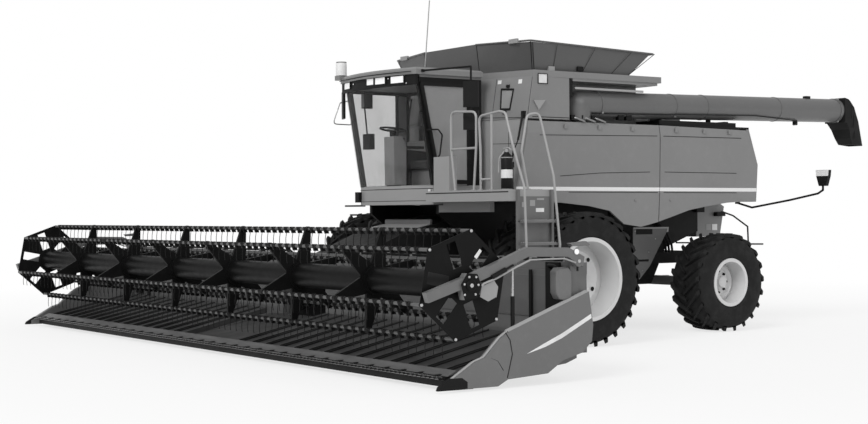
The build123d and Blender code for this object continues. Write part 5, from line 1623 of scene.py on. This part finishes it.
# %% Handrails
RAIL_Y, FOOT_Z, STILE = -1.420, 2.112, 2.785
rails, rail_feet = Build(), Build()
for points, bend in (
        (((1.590, RAIL_Y, FOOT_Z), (1.505, RAIL_Y, 2.670), (1.505, RAIL_Y, 3.180),
          (2.050, RAIL_Y, 3.150), (2.050, RAIL_Y, 2.720), (1.995, RAIL_Y, FOOT_Z)), 0.10),
        (((1.505, RAIL_Y, 2.670), (2.045, RAIL_Y, 2.670)), 0),
        (((2.140, RAIL_Y, FOOT_Z), (2.140, RAIL_Y, 2.600), (2.110, RAIL_Y, 3.085),
          (2.530, RAIL_Y, 3.125), (2.655, RAIL_Y, 3.105), (2.790, RAIL_Y, 2.700),
          (2.930, -1.340, 2.130), (2.930, -1.310, 1.330), (STILE, -1.310, 1.330)), 0.09),
        (((2.370, RAIL_Y, FOOT_Z), (2.370, RAIL_Y, 3.105)), 0),
        (((2.140, RAIL_Y, 2.250), (2.370, RAIL_Y, 2.250)), 0),
        (((2.705, -1.090, FOOT_Z), (2.705, -1.200, 2.600), (2.705, -1.100, 3.080),
          (2.760, -0.944, 3.110), (2.930, -0.850, 2.280), (2.930, -0.740, 1.330),
          (STILE, -0.740, 1.330)), 0.09)):
    rails.tube(points, 0.0165, bend, sides=14)
for x, y in ((1.590, RAIL_Y), (1.995, RAIL_Y), (2.140, RAIL_Y), (2.370, RAIL_Y), (2.705, -1.090)):
    rail_feet.bar((x - 0.030, y - 0.024, 2.110), (x + 0.030, y + 0.024, 2.120))
rails.done("handrail_tubes", "rail_enamel", "machine", smooth=50, replaces=("handrails",))
rail_feet.done("handrail_feet", "rail_enamel", "machine", 0.003)

# %% [markdown]
# Between and behind the wheels the chassis shows pipes, plates, valves and lamps. It gets the
# darkest paint and few light spots.

# %% The chassis between the wheels
COVER_X, CHOPPER_X = 1.2005, 0.7605
slots, cover_edges, cover_bolts, pipes, chopper_plates, chopper_white, lamps = (
    Build() for _ in range(7))
for outline in (((2.300, 1.470), (2.640, 1.470), (2.640, 1.550), (2.300, 1.550)),
                ((2.320, 1.060), (2.560, 1.060), (2.560, 1.090), (2.320, 1.090))):
    slots.side_prism(COVER_X, outline, 0.003)
cover_edges.side_prism(COVER_X, ((2.940, 1.500), (2.975, 1.500), (2.985, 1.575), (2.240, 1.575),
                                 (2.240, 1.555), (2.955, 1.555)), 0.006)
for y, z in ((2.275, 1.520), (2.275, 1.250), (2.275, 1.020), (2.700, 1.400), (2.560, 1.200),
             (2.430, 0.920)):
    cover_bolts.disc(0.012, (COVER_X, y, z), (COVER_X + 0.010, y, z), 0.003, steps=12)
for k, (y, z, reach_y) in enumerate(((3.010, 1.837, 3.395), (3.050, 1.800, 3.360),
                                     (3.090, 1.760, 3.330))):
    x = 0.860 - 0.035 * k
    pipes.tube([(x, y, z), (x, y + 0.06, z - 0.16), (x, reach_y - 0.10, 1.480),
                (x, reach_y, 1.300), (x, reach_y + 0.02, 1.180)], 0.018, 0.10)
plate(chopper_plates, (4.274, 1.513), (4.388, 1.610), CHOPPER_X)
plate(chopper_white, (4.411, 1.511), (4.526, 1.609), CHOPPER_X)
lamps.bar((0.762, 3.960, 1.800), (0.860, 4.140, 1.905))
lamps.bar((0.762, 4.445, 1.735), (0.840, 4.640, 1.800))
lamps.tube([(0.800, 4.050, 1.850), (0.800, 4.050, 1.960)], 0.020)
dress("machine", (
    (slots, "cover_slots", "frame_black", 0),
    (cover_edges, "cover_edges", "pale_sheet", 0),
    (cover_bolts, "cover_bolts", "worn_steel", 0),
    (pipes, "chassis_pipes", "black_plastic", 0),
    (chopper_plates, "chopper_plates", "pale_sheet", 0),
    (chopper_white, "chopper_white_plates", "plate_paint", 0),
    (lamps, "rear_brackets", "frame_black", 0.006),
), both_sides=True)
print("chassis dressed")

# %% [markdown]
# The rear of the body has lamps, a radiator screen with rows of slats, and a chopper with a
# tailboard. The engine deck carries a muffler and an air cleaner behind the tank.

# %% The rear end and the engine deck
rear_lamps, rear_rims, rear_seams, screen_slats, deck_parts, deck_pipes = (
    Build() for _ in range(6))


def hood_face(x, z, out=0.0):
    """Point on the rear hood's outer face, which leans out to its fold and then back."""
    y = 4.400 + (3.090 - z) * 0.3636 if z > 2.540 else 4.600 - (2.540 - z) * 0.069
    return x, y + out, z


for side in (1, -1):
    x0, x1 = sorted((side * 1.300, side * 1.460))
    for heights in ((2.640, 2.760), (2.780, 2.860)):
        rear_lamps.slab(hood_face, (x0, x1), heights, (0, 0.014))
    rear_rims.slab(hood_face, (x0 - 0.02, x1 + 0.02), (2.620, 2.880), (0, 0.008))
for z in (2.545, 2.200):
    rear_seams.slab(hood_face, (-1.53, 1.53), (z - 0.005, z + 0.005), (0, 0.003))
for x in (-0.62, 0.62):
    rear_seams.slab(hood_face, (x - 0.004, x + 0.004), (2.00, 2.535), (0, 0.003))
slat = Build().hexa([(0, -0.560, 0), (0.014, -0.560, -0.008), (0.014, 0.560, -0.008),
                     (0, 0.560, 0), (0, -0.560, 0.012), (0.018, -0.560, 0), (0.018, 0.560, 0),
                     (0, 0.560, 0.012)])
screen_rows = repeat(slat.mesh("slat"), 17, (1.560, 3.160, 3.165), (0, 0, 0.027),
                     finish="frame_black")
screen_slats.add(screen_rows, mirror_x=True)
deck_parts.disc(0.115, (-0.350, 3.350, 3.240), (0.500, 3.350, 3.240), 0.020, steps=32)
deck_parts.disc(0.150, (-0.350, 4.000, 3.280), (0.350, 4.000, 3.280), 0.025, steps=32)
for x in (-0.200, 0.300):
    deck_parts.bar((x - 0.020, 3.260, 3.118), (x + 0.020, 3.440, 3.160))
    deck_parts.bar((x - 0.070, 3.880, 3.118), (x - 0.030, 4.120, 3.180))
deck_pipes.tube([(0.500, 3.350, 3.240), (0.640, 3.350, 3.250), (0.660, 3.350, 3.420),
                 (0.660, 3.440, 3.560)], 0.055, 0.10, sides=20)
deck_pipes.tube([(-0.350, 4.000, 3.280), (-0.520, 3.980, 3.280), (-0.620, 3.700, 3.220),
                 (-0.700, 3.500, 3.180)], 0.050, 0.12, sides=20)
tails, tail_tops = Build(), Build()
tails.prism([(x, 4.6705, z) for x, z in ((2.715, 2.200), (2.820, 2.200), (2.862, 2.330),
                                         (2.672, 2.330))], (0, 0.010, 0))
tail_tops.prism([(x, 4.609, z) for x, z in ((2.657, 2.335), (2.877, 2.335), (2.886, 2.422),
                                            (2.650, 2.422))], (0, -0.003, 0))
dress("machine", (
    (rear_lamps, "rear_lamp_lenses", "amber_lens", 0),
    (rear_rims, "rear_lamp_rims", "frame_black", 0),
    (rear_seams, "rear_hood_seams", "frame_black", 0),
    (screen_slats, "radiator_slats", "frame_black", 0),
    (deck_parts, "muffler_and_cleaner", "chassis_enamel", 0),
    (deck_pipes, "engine_pipes", "frame_black", 0),
))
dress("machine", (
    (tails, "tail_lamp_lenses", "amber_lens", 0),
    (tail_tops, "tail_lamp_bands", "plate_paint", 0),
), both_sides=True)
print("rear dressed")

# %% [markdown]
# A pale shroud lies on the feeder house, with a row of bolts and an upstanding lip behind it. It
# belongs to the header, which carries the feeder house with it as it lifts.

# %% The feeder's shroud
feeder_plates, feeder_lips = Build(), Build()
feeder_plates.side_prism(-0.560, ((-1.500, 1.561), (-1.090, 1.643), (-1.090, 1.655),
                                  (-1.500, 1.574)), 1.120)
for k in range(5):
    x = -0.480 + k * 0.240
    feeder_plates.disc(0.014, (x, -1.440, 1.572), (x, -1.442, 1.584), 0.003, steps=12)
feeder_lips.side_prism(-0.560, ((-1.085, 1.640), (-1.040, 1.650), (-1.040, 1.715),
                                (-1.060, 1.728), (-1.085, 1.715)), 1.120)
feeder_plates.done("feeder_shroud", "rail_enamel", "header", 0.003)
feeder_lips.done("feeder_lip", "header_enamel", "header", 0.006)
print("feeder dressed")
